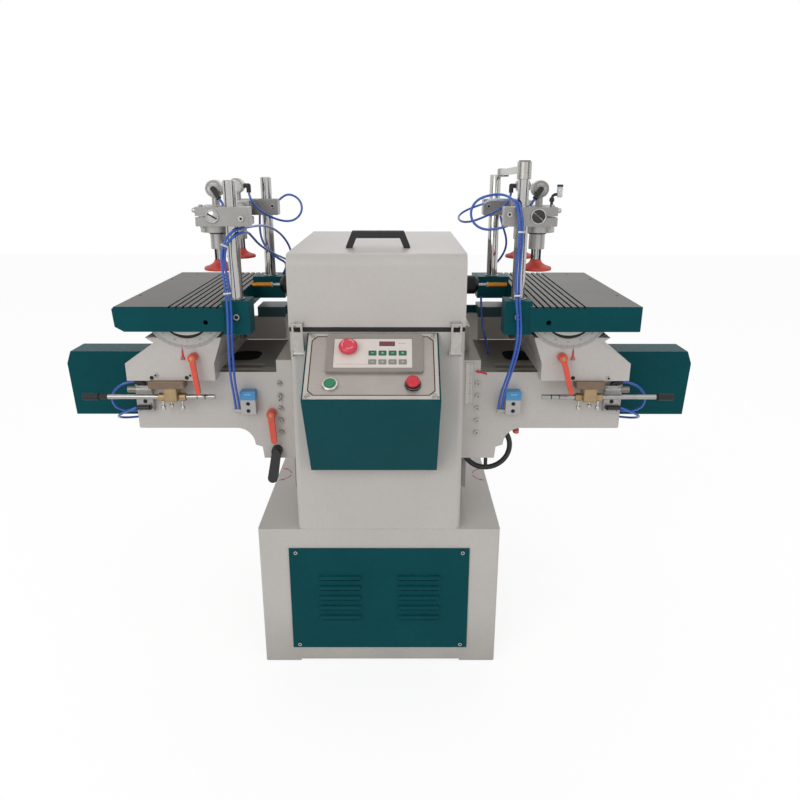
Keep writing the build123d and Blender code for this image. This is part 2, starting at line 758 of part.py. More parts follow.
def spindle():
    shaft = rod_x(-CHUCK_X0, CHUCK_X0, SPINDLE_Y, SPINDLE_Z, SHAFT_R)
    nose = CHUCK_X1 - CHUCK_NOSE
    half = [(CHUCK_X0 - CUT_OVER, 0), (CHUCK_X0 - CUT_OVER, CHUCK_R), (nose, CHUCK_R),
            (CHUCK_X1, CHUCK_R - CHUCK_NOSE), (CHUCK_X1, 0)]
    face = make_face(Polyline(*[(x, z) for x, z in half], close=True))
    chuck = Pos(0, SPINDLE_Y, SPINDLE_Z) * revolve(Plane.XZ * face, Axis.X)
    chuck -= rod_x(CHUCK_X1 - SHANK_SEAT, CHUCK_X1 + CUT_OVER, SPINDLE_Y, SPINDLE_Z, SHANK_R + SEAT_GAP)
    return shaft + chuck + mirrored(chuck)


def cutters():
    shank = rod_x(CHUCK_X1 - SHANK_SEAT, SHANK_X1, SPINDLE_Y, SPINDLE_Z, SHANK_R)
    body = rod_x(SHANK_X1, CUTTER_X1, SPINDLE_Y, SPINDLE_Z, CUTTER_R)
    for side in (-1, 1):
        body -= rod_x(SHANK_X1 + CUTTER_R, CUTTER_X1 + CUT_OVER, SPINDLE_Y, SPINDLE_Z + side * CUTTER_R, FLUTE_R)
    cutter = shank + body
    return Compound(children=[cutter, mirrored(cutter)])


def swing_gearmotor():
    half = GEARBOX_W / 2
    box = block(-half, half, CRANK_Y - half, CRANK_Y + half, COL_TOP_Z - GEARBOX_H, COL_TOP_Z)
    box = fillet(box.edges().filter_by(Axis.Z), half / 6)
    z0 = COL_TOP_Z - GEARBOX_H - GEARMOTOR_L
    motor = rod_z(0, CRANK_Y, z0, COL_TOP_Z - GEARBOX_H, GEARMOTOR_R)
    bore = rod_z(0, CRANK_Y, COL_TOP_Z - GEARBOX_H / 2, COL_TOP_Z + CUT_OVER, SHAFT_R + TURN_GAP)
    return box + motor - bore


def swing_crank():
    top = DECK_Z0 - 3 * SLIDE_GAP
    disc = rod_z(0, CRANK_Y, top - CRANK_T, top, CRANK_R)
    shaft = rod_z(0, CRANK_Y, COL_TOP_Z - GEARBOX_H / 2, top, SHAFT_R)
    pin = rod_z(SWING_TRAVEL, CRANK_Y, top, DECK_Z0 + DECK_T + SLIDE_GAP, CRANK_PIN_R)
    return disc + shaft + pin


# Control box, in the plane of its sloping panel: u to the right, v up the slope
SLOPE_RUN = FRONT_Y - BOX_LIP_Y
SLOPE_RISE = BOX_TOP_Z - BOX_LIP_Z
SLOPE = Plane(origin=(BOX_X, (FRONT_Y + BOX_LIP_Y) / 2, (BOX_TOP_Z + BOX_LIP_Z) / 2), x_dir=(1, 0, 0),
              z_dir=(0, -SLOPE_RISE, SLOPE_RUN)).location
CONTROLS = {"estop": (ESTOP_U, ESTOP_V, ESTOP_NECK_R), "start": (START_U, START_V, BUTTON_R),
            "stop": (-START_U, START_V, BUTTON_R)}


def wedge(inset):
    x0 = BOX_X - BOX_W / 2 + inset
    x1 = BOX_X + BOX_W / 2 - inset
    lean = hypot(SLOPE_RUN, SLOPE_RISE) / SLOPE_RUN
    points = [(FRONT_Y - inset, BOX_TOP_Z - inset * (lean + SLOPE_RISE / SLOPE_RUN)),
              (BOX_LIP_Y + inset * lean, BOX_LIP_Z - inset / 2),
              (BOX_FOOT_Y + inset / 2, BOX_FOOT_Z + inset), (FRONT_Y - inset, BOX_HEEL_Z + inset)]
    return prism_yz(points, x0, x1)


def control_box():
    box = wedge(0) - wedge(BOX_WALL)
    for u, v, r in CONTROLS.values():
        box -= SLOPE * Pos(u, v, 0) * Cylinder(r + SLIDE_GAP, 4 * BOX_WALL)
    return box


def control_plate():
    plate = SLOPE * Pos(0, 0, PLATE_T / 2) * Box(PLATE_W, PLATE_H, PLATE_T)
    rings = []
    for name, (u, v, r) in CONTROLS.items():
        plate -= SLOPE * Pos(u, v, 0) * Cylinder(r + SLIDE_GAP, 4 * PLATE_T)
        if name == "estop":
            continue
        ring = Pos(u, v, PLATE_T + BUTTON_RING_T / 2) * Cylinder(BUTTON_RING_R, BUTTON_RING_T)
        ring -= Pos(u, v, PLATE_T) * Cylinder(r + SLIDE_GAP, 4 * BUTTON_RING_T)
        rings.append(SLOPE * ring)
    return Compound(children=[plate] + rings)


def controller():
    frame = Pos(BEZEL_U, BEZEL_V, PLATE_T + BEZEL_T / 2) * Box(BEZEL_W, BEZEL_H, BEZEL_T)
    frame = fillet(frame.edges().filter_by(Axis.Z), BEZEL_T)
    frame -= Pos(PAD_U, PAD_V, PLATE_T + BEZEL_T) * Box(PAD_W, PAD_H, BEZEL_T / 2)
    frame -= Pos(ESTOP_U, ESTOP_V, PLATE_T) * Cylinder(ESTOP_NECK_R + SLIDE_GAP, 4 * BEZEL_T)
    frame -= Pos(DISPLAY_U, DISPLAY_V, PLATE_T + BEZEL_T / 2) * Box(DISPLAY_W, DISPLAY_H, BEZEL_T)
    floor = PLATE_T + BEZEL_T * 3 / 4
    for step in range(KEY_COUNT):
        for v in (KEY_V_TOP, KEY_V_LOW):
            key = Pos(KEY_U + step * KEY_PITCH, v, floor + KEY_RISE / 2) * Box(KEY_W, KEY_H, KEY_RISE)
            frame += key
    return SLOPE * frame


def estop_button():
    z0 = PLATE_T + BEZEL_T + BUTTON_TRAVEL
    cap = Pos(ESTOP_U, ESTOP_V, z0 + ESTOP_RISE / 2) * Cylinder(ESTOP_R, ESTOP_RISE)
    cap = fillet(cap.edges().group_by(Axis.Z)[-1], ESTOP_RISE / 3)
    stem = Pos(ESTOP_U, ESTOP_V, z0 - BUTTON_STEM_L / 2) * Cylinder(ESTOP_NECK_R - SLIDE_GAP, BUTTON_STEM_L)
    return SLOPE * (cap + stem)


def push_button(name):
    u, v, r = CONTROLS[name]
    top = PLATE_T + BUTTON_RING_T + BUTTON_RISE
    cap = Pos(u, v, top - BUTTON_STEM_L / 2) * Cylinder(r, BUTTON_STEM_L)
    return SLOPE * fillet(cap.edges().group_by(Axis.Z)[-1], BUTTON_RISE / 2)


# Knee
def knee():
    arm = block(KNEE_BLOCK_X1 - CUT_OVER, KNEE_X1, KNEE_Y0, KNEE_Y1, KNEE_ARM_Z0, KNEE_TOP_Z)
    ends = arm.edges().filter_by(Axis.Z).group_by(Axis.X)[-1]
    arm = fillet(ends, KNEE_END_R)
    web_y1 = KNEE_Y0 + KNEE_WEB_T
    corner_x = KNEE_WEB_X + KNEE_FILLET_R
    corner_z = KNEE_ARM_Z0 - KNEE_FILLET_R
    web = prism_xz([(KNEE_BLOCK_X1 - CUT_OVER, KNEE_FOOT_Z), (KNEE_STEP_X - LIMIT_CAP_R, KNEE_FOOT_Z),
                    (KNEE_STEP_X, KNEE_STEP_Z), (KNEE_WEB_X, corner_z), (corner_x, corner_z),
                    (corner_x, KNEE_ARM_Z0 + CUT_OVER), (KNEE_BLOCK_X1 - CUT_OVER, KNEE_ARM_Z0 + CUT_OVER)],
                   KNEE_Y0, web_y1)
    web -= rod_y(corner_x, KNEE_Y0 - CUT_OVER, web_y1 + CUT_OVER, corner_z, KNEE_FILLET_R)
    slide = block(KNEE_X0, KNEE_BLOCK_X1, KNEE_Y0, KNEE_Y1, KNEE_ARM_Z0, KNEE_BLOCK_Z1)
    slide += block(KNEE_X0, KNEE_BLOCK_X1, KNEE_Y0, web_y1, KNEE_FOOT_Z, KNEE_ARM_Z0)
    body = arm + web + slide
    root = WAY_ROOT_W / 2 + SLIDE_GAP
    tip = root + WAY_FLARE
    slot = [(COL_X - CUT_OVER, -root), (COL_X, -root), (COL_X + WAY_T + SLIDE_GAP, -tip),
            (COL_X + WAY_T + SLIDE_GAP, tip), (COL_X, root), (COL_X - CUT_OVER, root)]
    face = make_face(Polyline(*[(x, y + WAY_Y) for x, y in slot], close=True))
    body -= extrude(Plane.XY.offset(BASE_H) * face, COL_TOP_Z - BASE_H)
    for step in (1, 2):
        y = KNEE_Y0 + step * OIL_GROOVE_INSET
        body -= block(KNEE_BLOCK_X1 + OIL_GROOVE_W, KNEE_X1 - OIL_GROOVE_INSET, y, y + OIL_GROOVE_W,
                      KNEE_TOP_Z - OIL_GROOVE_W, KNEE_TOP_Z + CUT_OVER)
    pocket = Pos(POCKET_X, POCKET_Y, KNEE_TOP_Z - POCKET_D) * extrude(SlotOverall(POCKET_L, POCKET_W), POCKET_L)
    body -= pocket
    half = TROUGH_W / 2
    body -= block(TROUGH_X0, KNEE_X1 - GUARD_CUT, FEED_ROD_Y - half, FEED_ROD_Y + half, TROUGH_Z0,
                  KNEE_TOP_Z + CUT_OVER)
    body -= rod_x(TROUGH_X0, KNEE_X1 + CUT_OVER, FEED_ROD_Y, FEED_ROD_Z, FEED_ROD_R + SLIDE_GAP)
    body -= block(KNEE_BLOCK_X1 + KNEE_FILLET_R, KNEE_X1 - CORE_WALL, KNEE_Y0 + KNEE_WEB_T + CORE_WALL,
                  KNEE_Y1 - CORE_WALL, KNEE_ARM_Z0 - CUT_OVER, CORE_Z1)
    body += rod_z(UNDER_LEVER_X, UNDER_LEVER_Y, KNEE_ARM_Z0, CORE_Z1 + CUT_OVER, 2 * LEVER_HUB_R)
    for step in range(GIB_COUNT):
        z = GIB_TOP_Z - step * GIB_PITCH
        body += screw_y(KNEE_BLOCK_X1 - GIB_R, z, KNEE_Y0 + SEAT_GAP, GIB_HEAD, GIB_R)
    return body


def guard_points(inset):
    return [(KNEE_X1, GUARD_Z0 + inset), (GUARD_FOOT_X - inset, GUARD_Z0 + inset),
            (GUARD_X1 - inset, GUARD_SHOULDER_Z - inset / 2), (GUARD_X1 - GUARD_CUT - inset, GUARD_Z1 - inset),
            (KNEE_X1, GUARD_Z1 - inset)]


def end_guard():
    shell = prism_xz(guard_points(0), GUARD_Y0, GUARD_Y1)
    inner = prism_xz(guard_points(GUARD_WALL), GUARD_Y0 + GUARD_WALL, GUARD_Y1 - GUARD_WALL)
    shell -= inner
    back = block(KNEE_X1, KNEE_X1 + GUARD_WALL, GUARD_Y0, GUARD_Y1, GUARD_Z0, GUARD_Z1)
    back -= rod_x(KNEE_X1 - CUT_OVER, KNEE_X1 + 2 * GUARD_WALL, FEED_ROD_Y, FEED_ROD_Z, CYL_R + SLIDE_GAP)
    return shell + back


def feed_cylinder():
    x1 = KNEE_X1 + CYL_L
    tube = rod_x(KNEE_X1, x1, FEED_ROD_Y, FEED_ROD_Z, CYL_R)
    tube -= rod_x(KNEE_X1 - CUT_OVER, x1 - CYL_WALL, FEED_ROD_Y, FEED_ROD_Z, FEED_ROD_R + SLIDE_GAP)
    for x in (KNEE_X1 + GUARD_WALL + CYL_WALL, x1 - 3 * CYL_WALL):
        tube -= rod_x(x, x + CYL_WALL, FEED_ROD_Y, FEED_ROD_Z, CYL_R + CUT_OVER) - rod_x(
            x, x + CYL_WALL, FEED_ROD_Y, FEED_ROD_Z, CYL_R - CUT_OVER)
    return tube


def limit_valve(side):
    """A blue-topped limit valve on the knee front, with two hose sockets at one side."""
    x0 = LIMIT_X[side]
    x1 = x0 + LIMIT_W
    front_y = KNEE_Y0 - LIMIT_D
    cap_z = LIMIT_Z1 - LIMIT_CAP_H
    valve = block(x0, x1, front_y, KNEE_Y0, LIMIT_Z0, cap_z)
    cap = block(x0, x1, front_y, KNEE_Y0, cap_z, LIMIT_Z1)
    valve += fillet(cap.edges().group_by(Axis.Z)[-1], LIMIT_CAP_R)
    for share in (0.25, 0.75):
        z = LIMIT_Z0 + share * (cap_z - LIMIT_Z0)
        valve -= rod_y((x0 + x1) / 2, front_y - CUT_OVER, front_y + PORT_DEPTH, z, PORT_R)
    face_x, out = (x0, -1) if side == "right" else (x1, 1)
    for step in range(2):
        x = face_x + out * (SOCKET_OUT + step * SOCKET_GAP)
        valve += rod_z(x, SOCKET_Y, SOCKET_Z0, SOCKET_Z1, SOCKET_R)
    far_x = face_x + out * (SOCKET_OUT + SOCKET_GAP)
    valve += rod_x(min(face_x, far_x), max(face_x, far_x), SOCKET_Y, SOCKET_Z0 + SOCKET_R, SOCKET_R)
    return valve


def feed_valve():
    valve = block(VALVE_X0, VALVE_X1, KNEE_Y0 - VALVE_D, KNEE_Y0, VALVE_Z0, VALVE_Z1)
    valve += rod_x(VALVE_X0, SILENCER_X1, VALVE_Y, SILENCER_Z, SILENCER_R)
    valve += rod_x(VALVE_ELBOW_X0, VALVE_ELBOW_X1, VALVE_Y, VALVE_ELBOW_Z, ELBOW_R)
    valve += rod_z(VALVE_ELBOW_X0, VALVE_Y, VALVE_Z1 - ELBOW_R, VALVE_ELBOW_Z, ELBOW_R)
    valve += rod_x(LOW_ELBOW_X0, LOW_ELBOW_X1, LOW_ELBOW_Y, LOW_ELBOW_Z, ELBOW_R)
    valve += rod_y(LOW_ELBOW_X0, LOW_ELBOW_Y, KNEE_Y0 - VALVE_D, LOW_ELBOW_Z, ELBOW_R)
    return valve


def air_valves(side):
    return Compound(children=[limit_valve(side), feed_valve()])


# Saddle with a round seat for the trunnions, its rear wing and the lug for the feed rod
def saddle():
    outline = [(SADDLE_X0, SADDLE_Z0), (SADDLE_X1, SADDLE_Z0), (SADDLE_X1, SADDLE_SHOULDER_Z),
               (SADDLE_NECK_X, SADDLE_NECK_Z), (SADDLE_HORN_X1, SADDLE_HORN_Z), (SADDLE_HORN_X0, SADDLE_HORN_Z),
               (SADDLE_X0, SADDLE_SHOULDER_Z)]
    body = prism_xz(outline, SADDLE_Y0, SADDLE_Y1)
    body -= rod_y(TILT_X, SADDLE_Y0 - CUT_OVER, SADDLE_Y1 + CUT_OVER, TILT_Z, TRUNNION_R + SLIDE_GAP)
    body -= block(SADDLE_X0 - CUT_OVER, SADDLE_X1 + CUT_OVER, SADDLE_Y0 + SADDLE_SKIRT_T,
                  KNEE_Y1 + SLIDE_GAP, SADDLE_Z0 - CUT_OVER, KNEE_TOP_Z + SLIDE_GAP)
    wing_y0 = SADDLE_Y1 - WING_T
    body += block(WING_X0, SADDLE_X0 + WING_T, wing_y0, SADDLE_Y1, KNEE_TOP_Z, WING_Z1)
    body += block(WING_X0, SADDLE_HORN_X0 - WING_T, wing_y0, wing_y0 + LEDGE_D, WING_Z1, WING_Z1 + LEDGE_T)
    lug_x1 = SADDLE_NECK_X + LUG_T
    body += block(SADDLE_NECK_X, lug_x1, FEED_ROD_Y - LUG_W / 2, FEED_ROD_Y + LUG_W / 2,
                  FEED_ROD_Z - LUG_W / 2, KNEE_TOP_Z + LUG_T)
    body -= rod_x(SADDLE_NECK_X - CUT_OVER, lug_x1 + CUT_OVER, FEED_ROD_Y, FEED_ROD_Z, FEED_ROD_R + SEAT_GAP)
    rod = rod_x(SADDLE_NECK_X, KNEE_X1 + CYL_L - 2 * CYL_WALL, FEED_ROD_Y, FEED_ROD_Z, FEED_ROD_R)
    return Compound(children=[body.solid(), rod])


def stop_block():
    y0 = ROD_Y - BLOCK_D / 2
    y1 = ROD_Y + BLOCK_D / 2
    x1 = BLOCK_X0 + BLOCK_W
    body = block(BLOCK_X0, x1, y0, y1, BLOCK_Z0, BLOCK_Z1)
    body += rod_x(BLOCK_X0 - BOSS_L, x1 + BOSS_L, ROD_Y, ROD_Z, BOSS_R)
    body += block(BAR_X0, BAR_X1, y0, y1, BLOCK_Z1, SADDLE_Z0)
    for x in (BLOCK_X0 - BOSS_L / 2, BLOCK_X0 + BLOCK_W / 2, x1 + BOSS_L / 2):
        z1 = ROD_Z - ROD_R if x != BLOCK_X0 + BLOCK_W / 2 else BLOCK_Z0
        body += rod_z(x, ROD_Y, z1 - WING_SCREW_L - WING_SCREW_R, z1, WING_SCREW_R)
        body += rod_z(x, ROD_Y, z1 - WING_SCREW_L - WING_KNOB_R, z1 - WING_SCREW_L, WING_KNOB_R)
    return body - rod_x(BLOCK_X0 - 2 * BOSS_L, x1 + 2 * BOSS_L, ROD_Y, ROD_Z, ROD_R + TURN_GAP)


def stop_rod():
    rod = rod_x(ROD_X0, ROD_X1, ROD_Y, ROD_Z, ROD_R)
    grip = rod_x(ROD_X1 - CUT_OVER, ROD_X1 + GRIP_L, ROD_Y, ROD_Z, GRIP_R)
    return rod + fillet(grip.edges().group_by(Axis.X)[-1], GRIP_R / 3)


# Table
def trunnion():
    half = block(TILT_X - TRUNNION_R, TILT_X + TRUNNION_R, SADDLE_Y0, SADDLE_Y1, TILT_Z - TRUNNION_R, TABLE_Z0)
    pieces = []
    for y in (SADDLE_Y0, TRUNNION_Y1):
        disc = rod_y(TILT_X, y, y + TRUNNION_T, TILT_Z, TRUNNION_R) & half
        inner = TRUNNION_GROOVE_R - TRUNNION_GROOVE_W
        groove = rod_y(TILT_X, y, y + TRUNNION_GROOVE_D, TILT_Z, TRUNNION_GROOVE_R)
        groove -= rod_y(TILT_X, y - CUT_OVER, y + TRUNNION_T, TILT_Z, inner)
        pieces.append(disc - groove)
    return Compound(children=pieces)


def table(cut_corner):
    cut_x = TABLE_CUT_X if cut_corner else TABLE_CUT_Z / 6
    cut_z = TABLE_CUT_Z if cut_corner else TABLE_CUT_Z / 6
    outline = [(TABLE_X0, TABLE_Z0), (TABLE_X1 - cut_x, TABLE_Z0), (TABLE_X1 - cut_z / 4, TABLE_Z0 + cut_z),
               (TABLE_X1, TABLE_TOP_Z - cut_z / 2), (TABLE_X1 - cut_z / 2, TABLE_TOP_Z), (TABLE_X0, TABLE_TOP_Z)]
    body = prism_xz(outline, TABLE_Y0, TABLE_Y1)
    over = TABLE_X0 + SLOT_W
    body += block(FRONT_BOSS_X0, over, POST_Y - FRONT_BOSS_HALF, POST_Y + FRONT_BOSS_HALF, FRONT_BOSS_Z0, BOSS_TOP_Z)
    body += block(REAR_BOSS_X0, over, REAR_POST_Y - REAR_BOSS_HALF, REAR_POST_Y + REAR_BOSS_HALF,
                  REAR_BOSS_Z0, BOSS_TOP_Z)
    body += block(REAR_BOSS_X0, over, REAR_POST_Y, TABLE_Y1, TABLE_TOP_Z - REAR_LEAF_T, TABLE_TOP_Z)
    for step in range(SLOT_COUNT):
        x = SLOT_X0 + step * SLOT_PITCH
        body -= block(x - SLOT_W / 2, x + SLOT_W / 2, TABLE_Y0 - CUT_OVER, TABLE_Y1 + CUT_OVER,
                      TABLE_TOP_Z - SLOT_D, TABLE_TOP_Z + CUT_OVER)
    body -= block(TABLE_X0 + WELL_INSET, TABLE_X1 - WELL_INSET, WELL_Y0, WELL_Y1, TABLE_Z0 - CUT_OVER,
                  TABLE_Z0 + WELL_D)
    for x, y in ((POST_X, POST_Y), (REAR_POST_X, REAR_POST_Y)):
        body -= rod_z(x, y, BOSS_TOP_Z - POST_SEAT, BOSS_TOP_Z + CUT_OVER, POST_R + SEAT_GAP)
    hole_y = TABLE_Y0 + FENCE_HOLE_D
    body -= rod_y(FENCE_HOLE_X, TABLE_Y0 - CUT_OVER, hole_y, FENCE_HOLE_Z, FENCE_HOLE_R)
    body += screw_y(POST_X, FENCE_HOLE_Z + GIB_R, POST_Y - FRONT_BOSS_HALF + SEAT_GAP, GIB_HEAD, GIB_R)
    return body


def clamp_posts(tied):
    z0 = BOSS_TOP_Z - POST_SEAT
    front_top = POST_TOP_Z + TIE_POST_TOP if tied else POST_TOP_Z
    front = rod_z(POST_X, POST_Y, z0, front_top, POST_R)
    rear = rod_z(REAR_POST_X, REAR_POST_Y, z0, POST_TOP_Z, POST_R)
    front = chamfer(front.edges().group_by(Axis.Z)[-1], POST_R / 8)
    rear = chamfer(rear.edges().group_by(Axis.Z)[-1], POST_R / 8)
    pieces = [front, rear]
    if tied:
        run_x = REAR_POST_X - POST_X
        run_y = REAR_POST_Y - POST_Y
        tie = Box(TIE_W, hypot(run_x, run_y), TIE_H)
        mid = Pos((POST_X + REAR_POST_X) / 2, (POST_Y + REAR_POST_Y) / 2, POST_TOP_Z + TIE_H / 2)
        tie = mid * Rot(0, 0, degrees(atan2(-run_x, run_y))) * tie
        tie += rod_z(REAR_POST_X, REAR_POST_Y, POST_TOP_Z, POST_TOP_Z + TIE_H, TIE_W / 2)
        tie += rod_z(POST_X, POST_Y, POST_TOP_Z, POST_TOP_Z + TIE_HUB_H - SEAT_GAP, TIE_HUB_R)
        tie -= rod_z(POST_X, POST_Y, z0, front_top + TIE_H, POST_R + SEAT_GAP)
        pieces.append(tie)
    return Compound(children=pieces)


def clamp_arms():
    pieces = []
    over = SLOT_W
    for post_x, y in ((POST_X, POST_Y), (REAR_POST_X, REAR_POST_Y)):
        arm = block(ARM_X0 - (POST_X - post_x) / 3, ARM_X1, y - ARM_T / 2, y + ARM_T / 2, ARM_Z0, ARM_Z1)
        arm = chamfer(arm.edges().filter_by(Axis.Y), ARM_SPLIT / 2)
        arm -= rod_z(post_x, y, ARM_Z0 - CUT_OVER, ARM_Z1 + CUT_OVER, POST_R + TURN_GAP)
        arm -= rod_y(CROSSBAR_X, y - ARM_T, y + ARM_T, ARM_Z, CROSSBAR_R + SEAT_GAP)
        arm -= block(CROSSBAR_X + over, ARM_X1 + CUT_OVER, y - ARM_T, y + ARM_T, ARM_Z - ARM_SPLIT / 2,
                     ARM_Z + ARM_SPLIT / 2)
        pieces.append(arm)
    y0 = POST_Y - ARM_T / 2 - CROSSBAR_OVER
    y1 = REAR_POST_Y + ARM_T / 2 + CROSSBAR_OVER
    bar = rod_y(CROSSBAR_X, y0, y1, ARM_Z, CROSSBAR_R)
    pieces.append(chamfer(bar.edges().filter_by(GeomType.CIRCLE), CROSSBAR_OVER / 2))
    return Compound(children=pieces)


def front_elbow(y):
    """The hose elbow in the middle of a head's front face, turned down and inwards."""
    bend = (UNIT_X, y - HEAD_T / 2 - ELBOW_R, HEAD_Z)
    spigot = Vector(*FRONT_PORT) - Vector(*bend)
    out = Plane(origin=bend, z_dir=spigot).location * Pos(0, 0, spigot.length / 2) * Cylinder(ELBOW_R, spigot.length)
    return out + rod_y(UNIT_X, bend[1], y, HEAD_Z, ELBOW_R) + Pos(*bend) * Sphere(ELBOW_R)


def side_elbow(y):
    """The hose elbow at a head's inner side, turned down."""
    out = rod_x(HEAD_PORT_X, UNIT_X, y, HEAD_Z, ELBOW_R) + Pos(HEAD_PORT_X, y, HEAD_Z) * Sphere(ELBOW_R)
    return out + rod_z(HEAD_PORT_X, y, HEAD_PORT_Z, HEAD_Z, ELBOW_R)


def clamp_cylinders():
    pieces = []
    for y in (UNIT_Y_FRONT, UNIT_Y_REAR):
        x0 = CROSSBAR_X - CROSSBAR_R - SLOT_W
        disc_z1 = DISC_Z0 + DISC_H
        unit = block(x0, ARM_X1, y - UNIT_T / 2, y + UNIT_T / 2, disc_z1, ARM_Z1)
        unit = chamfer(unit.edges().filter_by(Axis.Y), ARM_SPLIT / 2)
        unit += rod_z(UNIT_X, y, DISC_Z0, disc_z1, DISC_R)
        unit += rod_z(UNIT_X, y, NECK_Z0, DISC_Z0, NECK_R)
        unit += rod_z(UNIT_X, y, ARM_Z1 - CUT_OVER, HEAD_Z, HEAD_STEM_R)
        unit += rod_y(UNIT_X, y - HEAD_T / 2, y + HEAD_T / 2, HEAD_Z, HEAD_R)
        unit += front_elbow(y) if y == UNIT_Y_FRONT else side_elbow(y)
        unit -= rod_y(CROSSBAR_X, y - UNIT_T, y + UNIT_T, ARM_Z, CROSSBAR_R + SEAT_GAP)
        unit -= rod_z(UNIT_X, y, NECK_Z0 - CUT_OVER, RAM_TOP_Z + SLIDE_GAP, RAM_R + TURN_GAP)
        pieces.append(unit)
    return Compound(children=pieces)


def ram(y):
    seat = PAD_Z0 + (PAD_Z1 - PAD_Z0) / 2
    rod = rod_z(UNIT_X, y, seat, RAM_TOP_Z, RAM_R)
    rise = PAD_Z1 - PAD_Z0
    half = [(0, 0), (PAD_R, 0), (PAD_R, PAD_RIM_H), (PAD_SHOULDER_R, rise / 2), (PAD_HUB_R, rise / 2 + PAD_RIM_H),
            (PAD_HUB_R, rise), (0, rise)]
    face = Plane.XZ * make_face(Polyline(*half, close=True))
    pad = Pos(UNIT_X, y, PAD_Z0) * revolve(face, Axis.Z)
    pad -= rod_z(UNIT_X, y, seat, PAD_Z1 + CUT_OVER, RAM_R + SEAT_GAP)
    return Compound(children=[rod, pad])


# Levers
def lever(x, z, y1, length, lean):
    """A clamping lever that hangs from its hub on a face at y1, leaning outwards by lean degrees."""
    end = (x + length * sin(radians(lean)), z - length * cos(radians(lean)))
    y0 = y1 - LEVER_HUB_T - LEVER_T
    arm = bar_between((x, z), end, LEVER_HUB_R * 3 / 4, LEVER_END_R, y0, y0 + LEVER_T)
    return arm + rod_y(x, y0, y1 - SLIDE_GAP, z, LEVER_HUB_R)


def under_lever():
    """The right knee's lock lever, on a stud under the arm, pointing to the front."""
    z0 = KNEE_ARM_Z0 - UNDER_HUB_L
    z1 = z0 + UNDER_LEVER_T
    hub = rod_z(UNDER_LEVER_X, UNDER_LEVER_Y, z0, KNEE_ARM_Z0 - SLIDE_GAP, LEVER_HUB_R)
    end_y = UNDER_LEVER_Y - UNDER_LEVER_L
    arm = block(UNDER_LEVER_X - LEVER_END_R, UNDER_LEVER_X + LEVER_END_R, end_y, UNDER_LEVER_Y, z0, z1)
    return hub + arm + rod_z(UNDER_LEVER_X, end_y, z0, z1, LEVER_END_R)


def lift_handle():
    end = (LIFT_X + LIFT_L * sin(radians(LIFT_LEAN)), LIFT_Z - LIFT_L * cos(radians(LIFT_LEAN)))
    y1 = KNEE_Y0 - SLIDE_GAP - LEVER_T / 2
    grip = bar_between((LIFT_X, LIFT_Z), end, LIFT_HUB_R * 3 / 4, LIFT_END_R, y1 - LIFT_T, y1)
    grip += rod_y(LIFT_X, y1 - LIFT_T, KNEE_Y0 - SLIDE_GAP, LIFT_Z, LIFT_HUB_R)
    return grip


def handwheel():
    """The right knee's lift wheel, behind the web, on a shaft that runs forward into the web."""
    rim = Pos(WHEEL_X, WHEEL_Y, WHEEL_Z) * Rot(90, 0, 0) * Torus(WHEEL_R - WHEEL_RIM_R, WHEEL_RIM_R)
    web_y = KNEE_Y0 + KNEE_WEB_T
    hub = rod_y(WHEEL_X, web_y + SLIDE_GAP, WHEEL_Y + WHEEL_HUB_L / 2, WHEEL_Z, WHEEL_HUB_R)
    for step in range(WHEEL_SPOKES):
        turn = 90 + step * 360 / WHEEL_SPOKES
        spoke = Pos((WHEEL_R - WHEEL_RIM_R) / 2, 0, 0) * Rot(0, 90, 0) * Cylinder(WHEEL_SPOKE_R, WHEEL_R - WHEEL_RIM_R)
        rim += Pos(WHEEL_X, WHEEL_Y, WHEEL_Z) * Rot(0, turn, 0) * spoke
    return rim + hub


# Air hoses. A route is a list of points chosen by hand; the tube runs straight between them with
# an arc at each point, as large as its two runs allow.
RIGHT_LONG = [(352, 43, 1221), (349, 39, 1207), (338, 32, 1192), (320, 24, 1180), (295, 17, 1168),
    (269, 13, 1157), (246, 16, 1149), (227, 30, 1146), (216, 51, 1149), (214, 76, 1157), (226, 98, 1167),
    (249, 110, 1177), (272, 102, 1186), (287, 71, 1194), (284, 16, 1200), (285, -26, 1205),
    (286, -72, 1209), (288, -118, 1212), (291, -162, 1214), (296, -204, 1216), (303, -240, 1217),
    (312, -268, 1220), (321, -295, 1212), (327, -306, 1186), (330, -308, 1158), (330, -310, 1126),
    (328, -312, 1088), (326, -315, 1046), (328, -319, 1004), (333, -323, 962), (336, -325, 918),
    (332, -320, 874), (324, -307, 830), (317, -287, 790), (313, -266, 756), (312.5, -250, 729),
    (312.5, -243, 707)]
RIGHT_TWIN = [(366.4, -233.4, 1218), (354, -238, 1201), (341, -240, 1183), (324, -239, 1167),
    (303, -235, 1156), (281, -228, 1150), (259, -221, 1147), (240, -214, 1152), (226, -208, 1165),
    (221, -204, 1184), (226, -204, 1203), (240, -208, 1218), (259, -216, 1225), (278, -229, 1229),
    (295, -249, 1228), (307, -273, 1221), (316, -298, 1209), (319, -309, 1184), (322, -314, 1157),
    (322, -315, 1126), (320, -317, 1088), (318, -320, 1046), (320, -324, 1004), (325, -328, 962),
    (328, -330, 918), (324, -325, 874), (316, -312, 830), (309, -291, 790), (304, -268, 756),
    (303, -251, 729), (303, -243, 707)]
RIGHT_TAIL = [(334, 101, 1158.8), (337, 98, 1142), (345, 98, 1121), (354, 105, 1097), (357, 121, 1070),
    (349, 138, 1043), (333, 150, 1019), (316, 158, 998), (307, 162, 979.8)]
RIGHT_DROP = [(286, 83, 936), (286, 74, 915), (286, 54, 890), (286, 28, 867), (288, -2, 849),
    (291, -32, 833), (295, -54, 816), (297, -62, 801)]
FEED_UPPER = [(611, -240, 776), (631, -241, 775), (651, -242, 766), (667, -241, 750), (675, -236, 729),
    (673, -227, 708), (661, -214, 693), (642, -200, 686), (619.6, -190, 685)]
